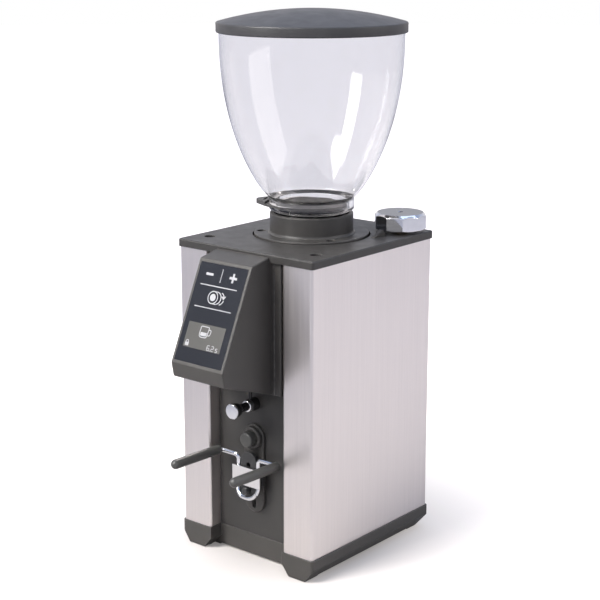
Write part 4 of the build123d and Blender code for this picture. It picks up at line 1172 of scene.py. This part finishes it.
@dataclass
class Studio:
    """Pale floor, soft lights and the camera."""

    azimuth: float = 39.72
    elevation: float = 13.2
    distance: float = 1.5293
    aim_right: float = -0.0075
    aim_height: float = 0.2855
    axis_behind: float = 0.007
    focal_share: float = 1468.4 / 600
    rise: float = -0.04
    sensor: float = 36.0
    lights: tuple[Lamp, ...] = (
        Lamp("right_softbox", (1.8, 0.9, 1.2), (0.1, 0, 0.2), (1.5, 1.5), 13.5, (1.0, 0.96, 0.92)),
        Lamp("front_softbox", (-0.80, -1.55, 1.25), (0, 0.04, 0.45), (0.6, 1.1), 4.0,
             (1.0, 0.98, 0.95), 70),
        Lamp("high_front", (-0.35, -1.15, 1.6), (0, -0.05, 0.33), (0.7, 0.7), 3.6,
             (1.0, 0.97, 0.94), 40),
        Lamp("overhead", (0.1, 0.6, 2.1), (0, 0, 0.3), (1.4, 1.4), 6.0, (0.68, 0.79, 1.0)))
    horizon: Colour = (0.95, 0.91, 0.89)
    zenith: Colour = (0.36, 0.43, 0.62)
    floor_glow: Colour = (1.0, 0.95, 0.91)
    # Darker base colour near the object: painted shadow on the floor.
    floor_shade_near: Colour = (0.50, 0.475, 0.455)
    floor_far: Colour = (0.85, 0.79, 0.75)
    shade_span: tuple[float, float] = (0.15, 1.2)
    glow_span: tuple[float, float] = (0.02, 0.34)
    glow_through: float = 0.46
    seen_through: Colour = (0.86, 0.82, 0.83)
    dark_side: Colour = (0.24, 0.24, 0.25)
    dark_toward: tuple[float, float, float] = (-0.72, -0.68, 0.12)

    def camera(self) -> None:
        """Camera on the object's own axes, a little to one side and shifted a little downwards."""
        data = bpy.data.cameras.new("camera")
        data.sensor_width = self.sensor
        data.lens = self.focal_share * self.sensor
        data.shift_y = self.rise
        data.clip_start, data.clip_end = 0.05, 20.0
        eye = bpy.data.objects.new("camera", data)
        bpy.context.scene.collection.objects.link(eye)
        turn, lift = math.radians(self.azimuth), math.radians(self.elevation)
        right = np.array([math.cos(turn), math.sin(turn), 0])
        back = np.array([math.sin(turn) * math.cos(lift), -math.cos(turn) * math.cos(lift),
                         math.sin(lift)])
        middle = np.array([0, joint("collar_turn")["pos_m"][1] - self.axis_behind, 0])
        aim = middle + right * self.aim_right + np.array([0, 0, self.aim_height])
        eye.location = aim + back * self.distance
        eye.rotation_mode = "QUATERNION"
        eye.rotation_quaternion = Vector(-back).to_track_quat("-Z", "Y")
        bpy.context.scene.camera = eye

    def floor(self) -> None:
        """Wide pale disc, which the camera sees brighten into white away from the object. Its base colour darkens
        towards the object, a painted shadow of the object on the floor.
        """
        ground = lathe(np.stack([np.linspace(0, 9, 30), np.zeros(30)], 1), 96)
        mesh = bpy.data.meshes.new("floor")
        mesh.from_pydata(ground.points.tolist(), [], ground.faces)
        plane = bpy.data.objects.new("floor", mesh)
        bpy.context.scene.collection.objects.link(plane)
        material = bpy.data.materials.new("pale_floor")
        material.use_nodes = True
        shader = material.node_tree.nodes["Principled BSDF"]
        shader.inputs["Roughness"].default_value = 0.9
        shader.inputs["Emission Strength"].default_value = 0.95
        sketch = Sketch(material.node_tree)
        length = sketch.add("VectorMath", {0: sketch.place()}, operation="LENGTH")
        away = length.outputs["Value"]
        # Base colour darker near the object: painted shadow of the object on the floor.
        floor_with_shade = sketch.mix(sketch.spread(away, *self.shade_span), self.floor_shade_near, self.floor_far)
        sketch.tree.links.new(floor_with_shade, shader.inputs["Base Color"])
        glow = sketch.spread(away, *self.glow_span)
        path = sketch.add("LightPath")
        through = sketch.math("MULTIPLY", path.outputs["Is Transmission Ray"], self.glow_through)
        seen = sketch.math("ADD", path.outputs["Is Camera Ray"], through)
        seen = sketch.math("MULTIPLY", glow, seen)
        tint = sketch.mix(seen, (0.0, 0.0, 0.0), self.floor_glow)
        sketch.tree.links.new(tint, shader.inputs["Emission Color"])
        mesh.materials.append(material)

    def surroundings(self) -> None:
        """Surroundings: warm white low down, bluish above, and a dark quarter that edges metal."""
        world = bpy.data.worlds.new("studio")
        world.use_nodes = True
        sketch = Sketch(world.node_tree)
        toward = sketch.add("TexCoord").outputs["Generated"]
        height = sketch.height(toward)
        sky = sketch.mix(sketch.spread(height, 0.0, 0.7), self.horizon, self.zenith)
        length = math.sqrt(sum(c * c for c in self.dark_toward))
        unit = tuple(c / length for c in self.dark_toward)
        facing = sketch.add("VectorMath", {0: toward, 1: unit}, operation="DOT_PRODUCT")
        shade = sketch.math("MULTIPLY", sketch.spread(facing.outputs["Value"], 0.60, 0.88),
                            sketch.spread(height, 0.60, 0.10))
        sky = sketch.mix(shade, sky, self.dark_side)
        path = sketch.add("LightPath")
        sky = sketch.mix(path.outputs["Is Transmission Ray"], sky, self.seen_through)
        sky = sketch.mix(path.outputs["Is Camera Ray"], sky, (1.0, 1.0, 1.0))
        background = world.node_tree.nodes["Background"]
        sketch.tree.links.new(sky, background.inputs["Color"])
        bpy.context.scene.world = world

    def build(self) -> None:
        """Sets the stage."""
        self.floor()
        self.surroundings()
        for lamp in self.lights:
            lamp.build()
        bpy.context.scene.view_settings.view_transform = "Standard"
        self.camera()


def main() -> None:
    """Builds the looks in order."""
    logging.basicConfig(level=logging.INFO, format="%(name)s: %(message)s")
    Studio().build()
    Finishes.dress_frame()
    for part in (Hopper(), Lid(), Knob(), Fork(), FrontControls(), ControlPanel()):
        part.build()
        LOG.info("%s done", type(part).__name__)


if __name__ == "__main__":
    main()
